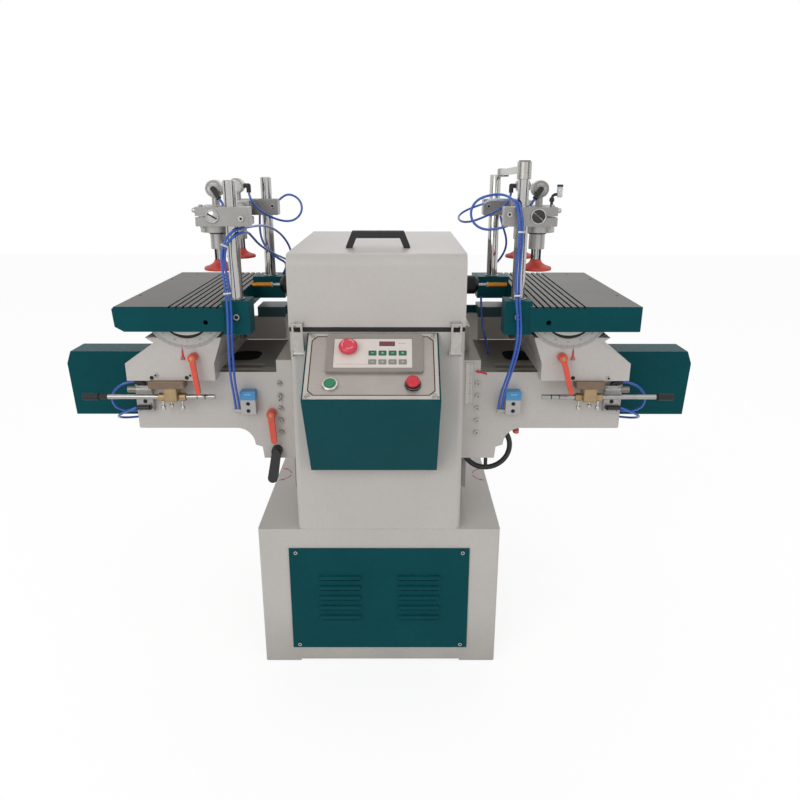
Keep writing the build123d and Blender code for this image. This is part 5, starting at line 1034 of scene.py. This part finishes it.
class MORTISER_OT_knee_fittings(bpy.types.Operator):
    """Gib screws with lock nuts, the height scale with its pointer, and the valves' fittings"""
    bl_idname = "mortiser.knee_fittings"
    bl_label = "Knee fittings"

    def execute(self, context):
        side_screws("left", "gib_nuts", [(250, KNEE_FRONT_Y, z) for z in GIB_ROWS], "knee_slide", radius=7.0,
                    height=4.0, sides=6, share=0.66)
        side_screws("left", "gib_studs", [(250, KNEE_FRONT_Y - 3.0, z) for z in (*GIB_ROWS, 728.0)],
                    "knee_slide", radius=4.0, height=7.0, share=0.5)
        for side, x0 in LIMIT_VALVE_X.items():
            # A thin dark sheet over the pocket's mouth: painted shade
            bm = bmesh.new()
            middle, width, depth = POCKET_MOUTH[side]
            slab(bm, round_rect(width, depth, 30.0, middle, 8), 798.8, 799.12, Matrix.Identity(4), 0, 0.1)
            side_piece(side, "pocket_mouth", bm, ["oil_wet_pocket"], "knee_slide", "black_plastic")
            bm = bmesh.new()
            for z in (704.5, 723.5):
                stub(bm, (4.8, 6.6), (4.2, 7.0), standing((x0 + 19, -248.2, z), (0, -1, 0)))
            side_piece(side, "limit_ports", bm, ["socket_bottom"], "knee_slide", "black_plastic")
            bm = bmesh.new()
            box(bm, (x0 + 10, -257.2, 745.4), (x0 + 28, -255.6, 750.6), soft=0.5)
            side_piece(side, "limit_rib", bm, ["blue_cap_rib"], "knee_slide", "blue_hose")
            bm = bmesh.new()
            for z in (740, 727):
                stub(bm, (5.2, 0.7), (4.6, 1.0), standing((587, -245.8, z), (0, -1, 0)))
            side_piece(side, "feed_valve_ports", bm, ["socket_bottom"], "knee_slide", "black_plastic")
            side_screws(side, "feed_valve_screws", [(572.5, -246.0, 764.0), (601.5, -246.0, 764.0),
                                                    (572.5, -246.0, 721.0), (601.5, -246.0, 703.5)],
                        "knee_slide", radius=2.4, height=1.6)
        # Engraved zinc rule on the right slide, and the red pointer that reads it
        bm = bmesh.new()
        box(bm, (218.5, -231.0, 714.0), (236.5, KNEE_FRONT_Y, 824.0), soft=0.3)
        box(bm, (236.5, -231.4, 714.0), (240.5, KNEE_FRONT_Y, 824.0), mat=1, soft=0.3)
        piece("right_height_rule", bm, ["engraved_rule", "turned_steel"], "right_knee_slide")
        repeated("right_rule_marks", mark_tree(), [(230.5, -231.1, 718 + 5.1 * k) for k in range(21)],
                 {"Mark width": 0.8 * MM, "Mark length": 5.0 * MM, "Mark height": 0.3 * MM, "First turn": 0.0,
                  "Step turn": 0.0, "Ink": finish("rule_ink")}, "right_knee_slide")
        bm = bmesh.new()
        slab(bm, POINTER_OUTLINE, 0, 2.0, upright(0, KNEE_FRONT_Y, 0), 0, 0.3)
        piece("right_height_pointer", bm, ["red_pointer_enamel"], "right_knee_slide")
        return {"FINISHED"}


# ---------------------------------------------------------------- saddles and trunnions
SADDLE_BOLTS = {"right": [(566.0, -270.0, 795.0)], "left": [(545.0, -270.0, 802.0), (460.0, -270.0, 802.0)]}
PIN_HOLES_X = {"right": (479.0,), "left": (556.0, 470.0)}
STOP_BAR_X = {"right": (486.0, 556.0), "left": (476.0, 563.0)}
STOP_BLOCK_X = {"right": 522.0, "left": 511.0}
SCALE_SPREAD = radians(100.0)
SCALE_R = 101.0
RING_LINE = (82.2, 82.8)
NUMBER_R = 89
HUB_R = 73.4
HUB_GAP = 7.6
NEEDLE_OUTLINE = [(474.5, 871.5), (476.6, 862), (476.4, 851), (480.4, 846), (480.4, 841), (469.6, 841),
                  (469.6, 846), (472.6, 851), (472.4, 862)]
THUMB_SCREW = [(0, 712.5), (4.6, 713.0), (5.6, 715.0), (5.6, 721.0), (4.4, 723.0), (3.0, 724.0), (3.0, 736.0),
               (0, 736.0)]
MIDDLE_SCREW = [(0, 717.0), (4.4, 717.5), (5.2, 719.0), (5.2, 724.0), (3.0, 726.0), (3.0, 738.0), (0, 738.0)]


class MORTISER_OT_saddle_fittings(bpy.types.Operator):
    """Saddle bolts, tilt pointers, graduated rings with their numbers, and the depth stop blocks"""
    bl_idname = "mortiser.saddle_fittings"
    bl_label = "Saddles and tilt scales"

    def execute(self, context):
        for side in SIDES:
            side_screws(side, "saddle_bolts", SADDLE_BOLTS[side], "saddle_slide", radius=5.2, height=3.4)
            self.scale(side, context.scene.mortiser_sizes.scale_marks)
            self.hub(side)
            bm = bmesh.new()
            slab(bm, NEEDLE_OUTLINE, 0, 1.6, upright(0, SADDLE_FRONT_Y, 0), 0, 0.3)
            side_piece(side, "tilt_pointer", bm, ["tilt_pointer_enamel"], "saddle_slide", "red_button")
            side_screws(side, "pointer_screw", [(475.0, -271.6, 845.0)], "saddle_slide", radius=2.6,
                        height=1.4)
            # Dark discs on the saddle's face where the pin holes are: painted shade in the holes
            bm = bmesh.new()
            for x in PIN_HOLES_X[side]:
                turned(bm, [(0, 0), (5.0, 0), (5.0, 0.6), (0, 0.8)], standing((x, -269.9, 795.6), (0, -1, 0)),
                       steps=24)
            side_piece(side, "saddle_pin_holes", bm, ["socket_bottom"], "saddle_slide", "black_plastic")
            self.stop_block(side)
        return {"FINISHED"}

    def scale(self, side, count):
        """Marks, the fine line inside them, and the numbers each 20 degrees."""
        x0, z0 = TILT_AXIS
        sign = SIDES[side]
        step = SCALE_SPREAD / (count - 1)
        first = pi / 2 - SCALE_SPREAD / 2
        turns = [-(first + step * k) for k in range(count)]
        marks = [(x0 + SCALE_R * cos(turn), SADDLE_FRONT_Y - 0.1, z0 + SCALE_R * sin(turn)) for turn in turns]
        repeated(f"{side}_tilt_marks", mark_tree(), mirrored(marks, side), {
            "Mark width": 0.9 * MM, "Mark length": 5.0 * MM, "Mark height": 0.3 * MM,
            "First turn": first if sign > 0 else pi - first, "Step turn": step * sign,
            "Ink": finish("scale_ink")}, f"{side}_tilt_table")
        bm = bmesh.new()
        turns = [radians(-90 - 50 + 100 * k / 40) for k in range(41)]
        inner, outer = RING_LINE
        slab(bm, arc(inner, turns) + arc(outer, turns[::-1]), 0, 0.25, upright(x0, SADDLE_FRONT_Y, z0), 0, 0)
        side_piece(side, "ring_line", bm, ["scale_ink"], "tilt_table", "black_plastic")
        for k, value in enumerate((40, 20, 0, 20, 40)):
            text = bpy.data.curves.new(f"{side}_tilt_number_{k}", "FONT")
            text.body = str(value)
            text.size = 6.5 * MM
            text.align_x = "CENTER"
            text.align_y = "CENTER"
            text.extrude = 0.15 * MM
            drawn = bpy.data.objects.new(f"{side}_tilt_number_{k}", text)
            bpy.context.scene.collection.objects.link(drawn)
            bpy.context.view_layer.update()
            held = bpy.context.evaluated_depsgraph_get()
            mesh = bpy.data.meshes.new_from_object(drawn.evaluated_get(held))
            bpy.data.objects.remove(drawn)
            lean = 20 * (k - 2)
            turn = radians(-90 + lean)
            at = metres(x0 * sign + NUMBER_R * cos(turn), SADDLE_FRONT_Y - 0.15, z0 + NUMBER_R * sin(turn))
            mesh.transform(Matrix.Translation(at) @ Matrix.Rotation(radians(lean), 4, "Y").inverted()
                           @ Matrix.Rotation(radians(90), 4, "X"))
            dress(bpy.data.objects.new(f"{side}_tilt_number_{k}", mesh), ["scale_ink"], f"{side}_tilt_table")

    def hub(self, side):
        """The hub's pale face, and a dark sheet of painted shade for the gap under it, which the table's
        skirt cuts off.
        """
        place = upright(TILT_AXIS[0], SADDLE_FRONT_Y, TILT_AXIS[1])
        turns = range(-46, 47, 2)
        face = [(HUB_R * sin(radians(turn)), -HUB_R * cos(radians(turn))) for turn in turns]
        reach = [HUB_R + 0.2 + HUB_GAP * cos(radians(1.9 * turn)) for turn in turns]
        gap = [(far * sin(radians(turn)), -far * cos(radians(turn))) for far, turn in zip(reach, turns)]
        bm = bmesh.new()
        slab(bm, face, 0.0, 0.8, place, 0, 0)
        # A dark sheet of painted shade in the gap between the hub and the ring
        slab(bm, gap + face[::-1], 0.0, 0.5, place, 1, 0)
        side_piece(side, "tilt_hub", bm, ["machined_hub_face", "socket_bottom"], "tilt_table", "steel")

    def stop_block(self, side):
        """Stop block under the saddle: bar, block, two clamping bosses and their thumb screws."""
        bar0, bar1 = STOP_BAR_X[side]
        middle = STOP_BLOCK_X[side]
        bm = bmesh.new()
        box(bm, (bar0, -283.0, 770.0), (bar1, -248.0, 789.0), 1, 0.8)
        box(bm, (middle - 16.0, -284.0, 737.0), (middle + 16.0, -246.0, 771.0), 0, 1.2)
        for way in (-1, 1):
            ring(bm, 6.3, 10.2, 16.0, 34.0, standing((middle, -264.0, 745.0), (way, 0, 0)), 0, 32, 1.2)
            turned(bm, THUMB_SCREW, standing((middle + way * 24.0, -268.0, 0)), 2, steps=20)
        turned(bm, MIDDLE_SCREW, standing((middle + 5.0, -262.0, 0)), 2, steps=20)
        side_piece(side, "depth_stop_block", bm, ["yellow_zinc_block", "dull_zinc_bar", "thumb_screw_nickel"],
                   "saddle_slide", "gold_zinc", "stop_block")


# ---------------------------------------------------------------- tables
TABLE_PLUGS = [(604.0, -150.0, TABLE_TOP_Z), (604.0, 120.0, TABLE_TOP_Z), (560.0, 226.0, TABLE_TOP_Z)]


class MORTISER_OT_table_fittings(bpy.types.Operator):
    """Bolts and tapped holes of the tables and post bosses"""
    bl_idname = "mortiser.table_fittings"
    bl_label = "Table fittings"

    def execute(self, context):
        for side in SIDES:
            side_screws(side, "boss_bolt", [(329.0, -300.0, 954.0)], "tilt_table", radius=7.0, height=9.0,
                        share=0.68, metal="turned_steel")
            side_screws(side, "boss_nut", [(321.0, -290.0, 911.2)], "tilt_table", radius=8.0, height=9.0,
                        turn=TO_FLOOR, metal="black_oxide_steel", sides=6, share=0.5)
            side_screws(side, "table_plugs", TABLE_PLUGS, "tilt_table", radius=3.6, height=0.4, turn=TO_TOP,
                        share=0.7, metal="black_oxide_steel")
            bm = bmesh.new()
            for post in (FRONT_POST, REAR_POST):
                ring(bm, 15.3, 19.0, 0.0, 2.4, standing((*post, 991.0)))
            side_piece(side, "post_collars", bm, ["turned_steel"], "tilt_table", "steel")
        return {"FINISHED"}


# ---------------------------------------------------------------- clamp frames
FRONT_ARM_BOLT = {"right": (301.5, -290.0, 1187.0), "left": (307.0, -290.0, 1177.0)}
# The cross bar's end: X of its middle, radius of its disc and lean of its slit
BAR_END = {"right": (367, 14.6, -38), "left": (372, 11.6, 30)}
POST_R = 15.0
NECK_R = 12.8
STRAP_X = (326.0, 336.0)
STRAP_OUTLINE = [(-262.0, 1277.0), (108.0, 1265.0), (108.0, 1280.0), (-262.0, 1293.0)]
STRAP_BOLT = (343.0, 100.0, 1273.5)
ELBOW_PATH = [(400, -265, 1202), (400, -265, 1222), (402, -265, 1227), (406, -265, 1229.5), (411, -265, 1230)]
CUP_PROFILE = [(0, 1223.0), (4.6, 1223.0), (6.2, 1226.0), (6.6, 1246.4), (5.8, 1246.4), (5.4, 1227.0),
               (4.0, 1224.2), (0, 1224.2)]
CUP_CAP_PROFILE = [(0, 1246.5), (6.8, 1246.5), (7.0, 1247.2), (7.0, 1250.4), (6.2, 1251.4), (0, 1251.4)]


class MORTISER_OT_clamp_fittings(bpy.types.Operator):
    """Bolts of the split arms, cross bar ends, head rims, the right posts' tie and the drain cup"""
    bl_idname = "mortiser.clamp_fittings"
    bl_label = "Clamp frame fittings"

    def execute(self, context):
        for side in SIDES:
            side_screws(side, "front_arm_bolt", [FRONT_ARM_BOLT[side]], "clamp_frame", radius=6.8, height=3.6,
                        share=0.4)
            side_screws(side, "rear_arm_bolt", [(300.0, 95.0, 1184.0)], "clamp_frame", radius=6.0, height=3.6)
            self.bar_end(side)
            self.rims(side)
            # Lever bolt at the outer end of the front arm
            bm = bmesh.new()
            stub(bm, (5.4, 9.0), (4.4, 11.0), standing((411.0, -270, 1193.0), (1, 0, 0.25)))
            turned(bm, [(0, 0), (4.2, 0), (4.2, 5.0), (0, 5.0)], standing((402.0, -270, 1160.0), (0, 0, -1)),
                   steps=20)
            turned(bm, [(0, 0), (4.6, 0), (4.6, 4.0), (0, 4.6)], standing((402.0, -270, 1203.0)), steps=20)
            side_piece(side, "arm_clamp_bolt", bm, ["bright_zinc_plate"], "clamp_frame", "steel")
        bm = bmesh.new()
        bent_rod(bm, ELBOW_PATH, 3.4)
        stub(bm, (5.6, 7.0), (4.6, 8.0), standing((400, -265, 1214.0)), steps=20)
        turned(bm, CUP_CAP_PROFILE, standing((417, -265, 0)), steps=28)
        piece("drain_cup_elbow", bm, ["moulded_black_nylon"], "right_clamp_frame")
        bm = bmesh.new()
        turned(bm, CUP_PROFILE, standing((417, -265, 0)), steps=28)
        piece("drain_cup", bm, ["clear_cup"], "right_clamp_frame")
        self.right_posts()
        return {"FINISHED"}

    def bar_end(self, side):
        x, disc, lean = BAR_END[side]
        face, cut = (1, 0) if side == "right" else (0, 1)
        bm = bmesh.new()
        end = standing((x, -292, 1182.5), (0, -1, 0))
        ring(bm, disc + 0.2, disc + 3.2, 0.0, 1.6, end)
        stub(bm, (disc, 0.5), (disc - 0.7, 0.9), end, face, steps=40)
        slit = end @ Matrix.Rotation(radians(lean), 4, "Z")
        # A raised dark bar of painted shade stands for the slit
        box(bm, (-disc, -1.7, 0.9), (disc, 1.7, 1.3), cut, 0.2, slit)
        side_piece(side, "cross_bar_end", bm, ["bright_end_face", "dark_slit"], "clamp_frame", "steel")

    def rims(self, side):
        """Rims and small screws of the round heads, and of the flange and the neck of each cylinder."""
        bm = bmesh.new()
        for y in CLAMP_Y.values():
            for way in (-1, 1):
                ring(bm, 14.5, 19.3, 0.0, 1.0, standing((CLAMP_X, y + way * 15.0, HEAD_Z), (0, way, 0)),
                     soft=0.3)
            for x, z in arc(12.2, [radians(35 + 120 * k) for k in range(3)], (CLAMP_X, HEAD_Z)):
                turned(bm, [(0, 0), (1.6, 0), (1.6, 0.9), (0, 1.1)], standing((x, y - 15.0, z), (0, -1, 0)),
                       steps=12)
        side_piece(side, "head_rims", bm, ["machined_aluminium"], "clamp_frame", "aluminium")
        bm = bmesh.new()
        for y in CLAMP_Y.values():
            ring(bm, 18.0, 21.6, 1136.6, 1141.2, standing((CLAMP_X, y, 0)), 1, soft=0.5)
            ring(bm, 37.0, 40.3, 1156.0, 1159.3, standing((CLAMP_X, y, 0)), 0, soft=0.6)
            for at in arc(33, [radians(45 + 90 * k) for k in range(4)], (CLAMP_X, y)):
                stub(bm, (3.4, 2.6), (3.0, 3.0), standing((*at, 1159.0)), 1, steps=16)
        side_piece(side, "cylinder_rims", bm, ["machined_aluminium", "black_oxide_steel"], "clamp_frame",
                   "aluminium")

    def right_posts(self):
        """The front post is turned down above its arm and carries the hub of the tie strap."""
        bm = bmesh.new()
        front = standing((*FRONT_POST, 0))
        turned(bm, [(0, POST_FOOT_Z), (POST_R, POST_FOOT_Z), (POST_R, 1206.0), (NECK_R, 1207.2),
                    (NECK_R, 1301.0), (0, 1301.0)], front, 0, steps=48)
        turned(bm, [(0, POST_FOOT_Z), (POST_R, POST_FOOT_Z), (POST_R, 1266.0), (14.0, 1267.4), (0, 1267.4)],
               standing((*REAR_POST, 0)), 0, steps=48)
        ring(bm, 12.9, 16.2, 1263.0, 1301.0, front, 1, 48, 0.8)
        turned(bm, [(0, 1301.0), (13.4, 1301.0), (13.4, 1302.6), (12.6, 1303.4), (0, 1303.4)], front, 2,
               steps=40)
        across = Matrix(((0, 0, 1, 0), (1, 0, 0, 0), (0, 1, 0, 0), (0, 0, 0, 1)))
        slab(bm, STRAP_OUTLINE, *STRAP_X, across, 1, 1.0)
        box(bm, (322.0, 100.0, 1262.0), (353.0, 112.0, 1284.0), 1, 1.5)
        bolt = standing(STRAP_BOLT, (0, -1, 0))
        turned(bm, [(0, 0), (9.6, 0), (9.6, 3.0), (0, 3.0)], bolt, 3, steps=6)
        turned(bm, [(0, 3.0), (5.4, 3.0), (5.0, 7.4), (0, 8.0)], bolt, 0, steps=24)
        piece("right_post_frame", bm, ["hard_chrome_right_post", "bright_zinc_plate", "black_oxide_steel",
                                       "green_passivated_bolt"], "right_tilt_table",
              ["right_clamp_posts"])


ROD_PROFILE = [(0, 1071.0), (5.95, 1071.0), (5.95, 1155.5), (0, 1155.5)]
GUIDE_PROFILE = [(0, 1070.0), (2.8, 1070.0), (2.8, 1142.0), (0, 1142.0)]
GUIDE_OFFSET = 9.4
PAD_PROFILE = [(0, 1050.0), (34.0, 1050.0), (38.2, 1051.0), (39.0, 1053.0), (38.8, 1056.6), (36.6, 1058.6),
               (31.0, 1060.2), (25.0, 1062.4), (20.0, 1065.2), (16.2, 1068.4), (14.2, 1071.0), (13.8, 1073.8),
               (12.4, 1075.0), (6.1, 1075.0), (6.1, 1072.0), (0, 1072.0)]


class MORTISER_OT_rams(bpy.types.Operator):
    """Chrome clamp rods with their guide rods and flared rubber pads"""
    bl_idname = "mortiser.rams"
    bl_label = "Clamp rods and pads"

    def execute(self, context):
        for side in SIDES:
            for which, y in CLAMP_Y.items():
                bm = bmesh.new()
                place = standing((CLAMP_X, y, 0))
                turned(bm, ROD_PROFILE, place, 1, steps=32)
                for x in (-GUIDE_OFFSET, GUIDE_OFFSET):
                    turned(bm, GUIDE_PROFILE, place @ Matrix.Translation(metres(x, 0, 0)), 2, steps=16)
                turned(bm, PAD_PROFILE, place, 0, steps=64)
                side_piece(side, f"{which}_pad", bm, ["red_pad_rubber", "ram_chrome", "black_oxide_steel"],
                           f"{which}_clamp", "red_rubber", f"{which}_ram")
        return {"FINISHED"}


# ---------------------------------------------------------------- levers
# Name, hub, back, length, lean from straight down, sizes of the arm's two ends and the hub, body and node
LEVERS = (
    ("right", "tilt_lever_arm", (447.0, 850.0), SADDLE_FRONT_Y, 89.0, 16.0, (6.4, 5.6, 11.4),
     "tilt_lever_arm", "tilt_lever"),
    ("left", "tilt_lever_arm", (447.0, 850.0), SADDLE_FRONT_Y, 86.0, -6.0, (6.4, 5.6, 11.4), "tilt_lever_arm",
     "tilt_lever"),
    ("left", "lock_lever_grip", (272.0, 692.0), KNEE_FRONT_Y, 70.0, -4.0, (8.0, 7.4, 12.0), "lock_lever_arm",
     "lock_lever"),
)
LEVER_THICK = 10.0
LEVER_OFFSET = 18.0
LIFT_HUB = (264.0, 590.0)
LIFT_LENGTH = 72
LIFT_LEAN = radians(10)
LIFT_FRONT = (235.3, 257.3)
HUB_SCREW_PROFILE = [(0, 27.4), (4.4, 27.4), (4.4, 29.4), (3.8, 29.8), (2.2, 29.8), (2.0, 28.6), (0, 28.6)]
LOCK_HUB = (357.0, -130.0)
LOCK_END = (357.0, -210.0)
LOCK_HUB_PROFILE = [(0, 626.6), (4.6, 626.6), (4.6, 627.6), (9.8, 628.0), (12.0, 631.0), (12.0, 647.0),
                    (10.6, 649.6), (0, 649.6)]


def hanging_end(hub, length, lean):
    """The far end of an arm that hangs from a hub, both in X and Z."""
    return hub[0] + length * sin(lean), hub[1] - length * cos(lean)


class MORTISER_OT_levers(bpy.types.Operator):
    """Red clamping levers and the black lift handle"""
    bl_idname = "mortiser.levers"
    bl_label = "Levers and lift handle"

    def execute(self, context):
        flat = upright(0, 0, 0)
        for side, name, hub, back_y, length, lean, (near, far, hub_r), body, node in LEVERS:
            bm = bmesh.new()
            front = back_y - LEVER_OFFSET - LEVER_THICK
            slab(bm, tapered(hub, hanging_end(hub, length, radians(lean)), near, far), -(front + LEVER_THICK),
                 -front, flat, 0, 2.4)
            place = standing((hub[0], back_y, hub[1]), (0, -1, 0))
            turned(bm, [(0, 0.4), (hub_r * 0.8, 0.4), (hub_r, 3.0), (hub_r, 20.0), (hub_r * 0.92, 23.6),
                        (hub_r * 0.8, 28.2), (4.6, 28.6), (4.6, 27.6), (0, 27.6)], place, 0, steps=36)
            turned(bm, HUB_SCREW_PROFILE, place, 1, steps=20)
            side_piece(side, name, bm, ["moulded_red_lever", "yellow_zinc_screw"], body, "red_handle", node)
        bm = bmesh.new()
        arm = tapered(LIFT_HUB, hanging_end(LIFT_HUB, LIFT_LENGTH, LIFT_LEAN), 10.8, 12.4, 14)
        slab(bm, arm, *LIFT_FRONT, flat, 0, 5.0)
        turned(bm, [(0, 0.4), (14.0, 0.4), (14.0, 16.0), (12.6, 20.0), (0, 20.6)],
               standing((LIFT_HUB[0], KNEE_FRONT_Y, LIFT_HUB[1]), (0, -1, 0)), 0, steps=36)
        side_piece("left", "lift_grip", bm, ["moulded_black_handle"], "lift_handle_turner", "black_plastic",
                   "lift_handle")
        # The right knee's lock lever lies flat under the knee
        bm = bmesh.new()
        slab(bm, tapered(LOCK_HUB, LOCK_END, 9.0, 7.0), 628.4, 638.0, Matrix.Identity(4), 0, 2.4)
        turned(bm, LOCK_HUB_PROFILE, standing((*LOCK_HUB, 0)), 0, steps=36)
        side_piece("right", "lock_lever_grip", bm, ["moulded_red_lever"], "lock_lever_arm", "red_handle",
                   "lock_lever")
        return {"FINISHED"}


# ---------------------------------------------------------------- stage
CAMERA_AT = (0.05103, -1.97407, 1.2960)
CAMERA_PITCH, CAMERA_YAW, CAMERA_ROLL = radians(18.1145), radians(0.0924), radians(0.0572)
SENSOR = 36.0
FOCAL_PIXELS, FRAME_PIXELS = 722.3641, 800.0
# Name, place, what it aims at, and size, in metres
LAMPS = (("key", (-1.9, -3.4, 2.5), (0, 0, 0.8), 2.6),
         ("fill", (2.6, -2.6, 2.2), (0, 0, 0.7), 2.4),
         ("rear", (0.4, 2.8, 2.8), (0, 0, 0.9), 2.4))
# Name, X, and the two ends along Y, in metres
CARDS = (("card_left", -2.3, -1.3, -0.5), ("card_right", 2.1, -1.9, -0.9))
FLOOR_CORNERS = ((-9, -7), (9, -7), (9, 9), (-9, 9))
FLOOR_Z = -0.0005
FLOOR_SHARE, FLOOR_WHITE = 0.72, 1.13


def seen_plainly(tree):
    """1 for rays from the camera and for those seen in metal or through glass, and 0 for light."""
    seen = add(tree, "ShaderNodeLightPath").outputs
    direct = maths(tree, "MAXIMUM", seen["Is Camera Ray"], seen["Is Transmission Ray"])
    return maths(tree, "MAXIMUM", direct, seen["Is Glossy Ray"])


def emptied(block):
    """The cleared node tree of a new world or material."""
    block.use_nodes = True
    block.node_tree.nodes.clear()
    return block.node_tree


def stage_sheet(name, corners, material):
    """One flat face of the stage."""
    mesh = bpy.data.meshes.new(name)
    mesh.from_pydata(corners, [], [(0, 1, 2, 3)])
    made = bpy.data.objects.new(name, mesh)
    mesh.materials.append(material)
    bpy.context.scene.collection.objects.link(made)
    return made


class MORTISER_OT_stage(bpy.types.Operator):
    """Pale floor, soft light and the camera"""
    bl_idname = "mortiser.stage"
    bl_label = "Stage"

    def execute(self, context):
        scene = context.scene
        scene.view_settings.view_transform = "Standard"
        self.camera(scene)
        self.light(scene)
        self.sheets()
        return {"FINISHED"}

    def camera(self, scene):
        """The photograph's viewpoint, as a turn from level and north."""
        ahead = Vector((sin(CAMERA_YAW) * cos(CAMERA_PITCH), cos(CAMERA_YAW) * cos(CAMERA_PITCH),
                        -sin(CAMERA_PITCH)))
        right = ahead.cross(Vector((0, 0, 1))).normalized()
        up = right.cross(ahead)
        across = cos(CAMERA_ROLL) * right + sin(CAMERA_ROLL) * up
        rise = -sin(CAMERA_ROLL) * right + cos(CAMERA_ROLL) * up
        lens = bpy.data.cameras.new("camera")
        lens.sensor_width = SENSOR
        lens.lens = FOCAL_PIXELS * SENSOR / FRAME_PIXELS
        lens.clip_end = 60.0
        view = bpy.data.objects.new("camera", lens)
        turn = Matrix((across, rise, -ahead)).transposed().to_4x4()
        view.matrix_world = Matrix.Translation(CAMERA_AT) @ turn
        scene.collection.objects.link(view)
        scene.camera = view

    def light(self, scene):
        stage = scene.mortiser_stage
        world = bpy.data.worlds.new("studio")
        tree = emptied(world)
        strength = blended(tree, seen_plainly(tree), stage.room, 1.0)
        light = add(tree, "ShaderNodeBackground", {"Color": (1.0, 1.0, 1.0, 1.0), "Strength": strength})
        tree.links.new(light.outputs[0], add(tree, "ShaderNodeOutputWorld").inputs[0])
        scene.world = world
        for name, at, aim, size in LAMPS:
            lamp = bpy.data.lights.new(name, "AREA")
            lamp.shape = "DISK"
            lamp.size = size
            lamp.energy = stage.key_power if name == "key" else stage.fill_power
            made = bpy.data.objects.new(name, lamp)
            away = Vector(at) - Vector(aim)
            made.matrix_world = Matrix.Translation(at) @ away.to_track_quat("Z", "Y").to_matrix().to_4x4()
            scene.collection.objects.link(made)

    def sheets(self):
        """Two dark cards, seen only in reflections, that streak the chrome, and the pale floor."""
        card = bpy.data.materials.new("dark_card")
        tree = emptied(card)
        black = add(tree, "ShaderNodeEmission", {"Color": (0.05, 0.05, 0.05, 1.0), "Strength": 1.0})
        tree.links.new(black.outputs[0], add(tree, "ShaderNodeOutputMaterial").inputs[0])
        for name, x, y0, y1 in CARDS:
            made = stage_sheet(name, [(x, y0, 0.7), (x, y1, 0.7), (x, y1, 2.6), (x, y0, 2.6)], card)
            for kind in ("camera", "diffuse", "transmission", "volume_scatter", "shadow"):
                setattr(made, f"visible_{kind}", False)
        ground = bpy.data.materials.new("pale_floor")
        tree = emptied(ground)
        share = maths(tree, "MULTIPLY", seen_plainly(tree), FLOOR_SHARE)
        matt = add(tree, "ShaderNodeBsdfDiffuse", {"Color": (0.9, 0.9, 0.9, 1.0)})
        plain = add(tree, "ShaderNodeEmission", {"Color": (1.0, 1.0, 1.0, 1.0), "Strength": FLOOR_WHITE})
        mix = add(tree, "ShaderNodeMixShader", {0: share, 1: matt.outputs[0], 2: plain.outputs[0]})
        tree.links.new(mix.outputs[0], add(tree, "ShaderNodeOutputMaterial").inputs[0])
        stage_sheet("floor", [(x, y, FLOOR_Z) for x, y in FLOOR_CORNERS], ground)


class MORTISER_PT_panel(bpy.types.Panel):
    """Lists the machine's pieces"""
    bl_idname = "MORTISER_PT_panel"
    bl_label = "Mortise and tenon machine"
    bl_space_type = "VIEW_3D"
    bl_region_type = "UI"
    bl_category = "Mortiser"

    def draw(self, context):
        for owner, kind in GROUPS:
            for name in kind.__annotations__:
                self.layout.prop(getattr(context.scene, owner), name)
        for step in STEPS:
            self.layout.operator(step.bl_idname)


GROUPS = (("mortiser_paints", MortiserPaints), ("mortiser_sizes", MortiserSizes),
          ("mortiser_stage", MortiserStage))
STEPS = (MORTISER_OT_stage, MORTISER_OT_hoses, MORTISER_OT_ties, MORTISER_OT_castings, MORTISER_OT_controls,
         MORTISER_OT_hood_fittings, MORTISER_OT_cabinet_fittings, MORTISER_OT_knee_fittings,
         MORTISER_OT_saddle_fittings, MORTISER_OT_table_fittings, MORTISER_OT_clamp_fittings,
         MORTISER_OT_rams, MORTISER_OT_levers)


def register():
    for name, group in GROUPS:
        bpy.utils.register_class(group)
        setattr(bpy.types.Scene, name, PointerProperty(type=group))
    for step in (*STEPS, MORTISER_PT_panel):
        bpy.utils.register_class(step)


def unregister():
    for step in (MORTISER_PT_panel, *reversed(STEPS)):
        bpy.utils.unregister_class(step)
    for name, group in reversed(GROUPS):
        delattr(bpy.types.Scene, name)
        bpy.utils.unregister_class(group)


def main():
    register()
    bpy.ops.mortiser.stage()
    bpy.ops.mortiser.hoses()
    bpy.ops.mortiser.ties()
    bpy.ops.mortiser.castings()
    bpy.ops.mortiser.controls()
    bpy.ops.mortiser.hood_fittings()
    bpy.ops.mortiser.cabinet_fittings()
    bpy.ops.mortiser.knee_fittings()
    bpy.ops.mortiser.saddle_fittings()
    bpy.ops.mortiser.table_fittings()
    bpy.ops.mortiser.clamp_fittings()
    bpy.ops.mortiser.rams()
    bpy.ops.mortiser.levers()


if __name__ == "__main__":
    main()
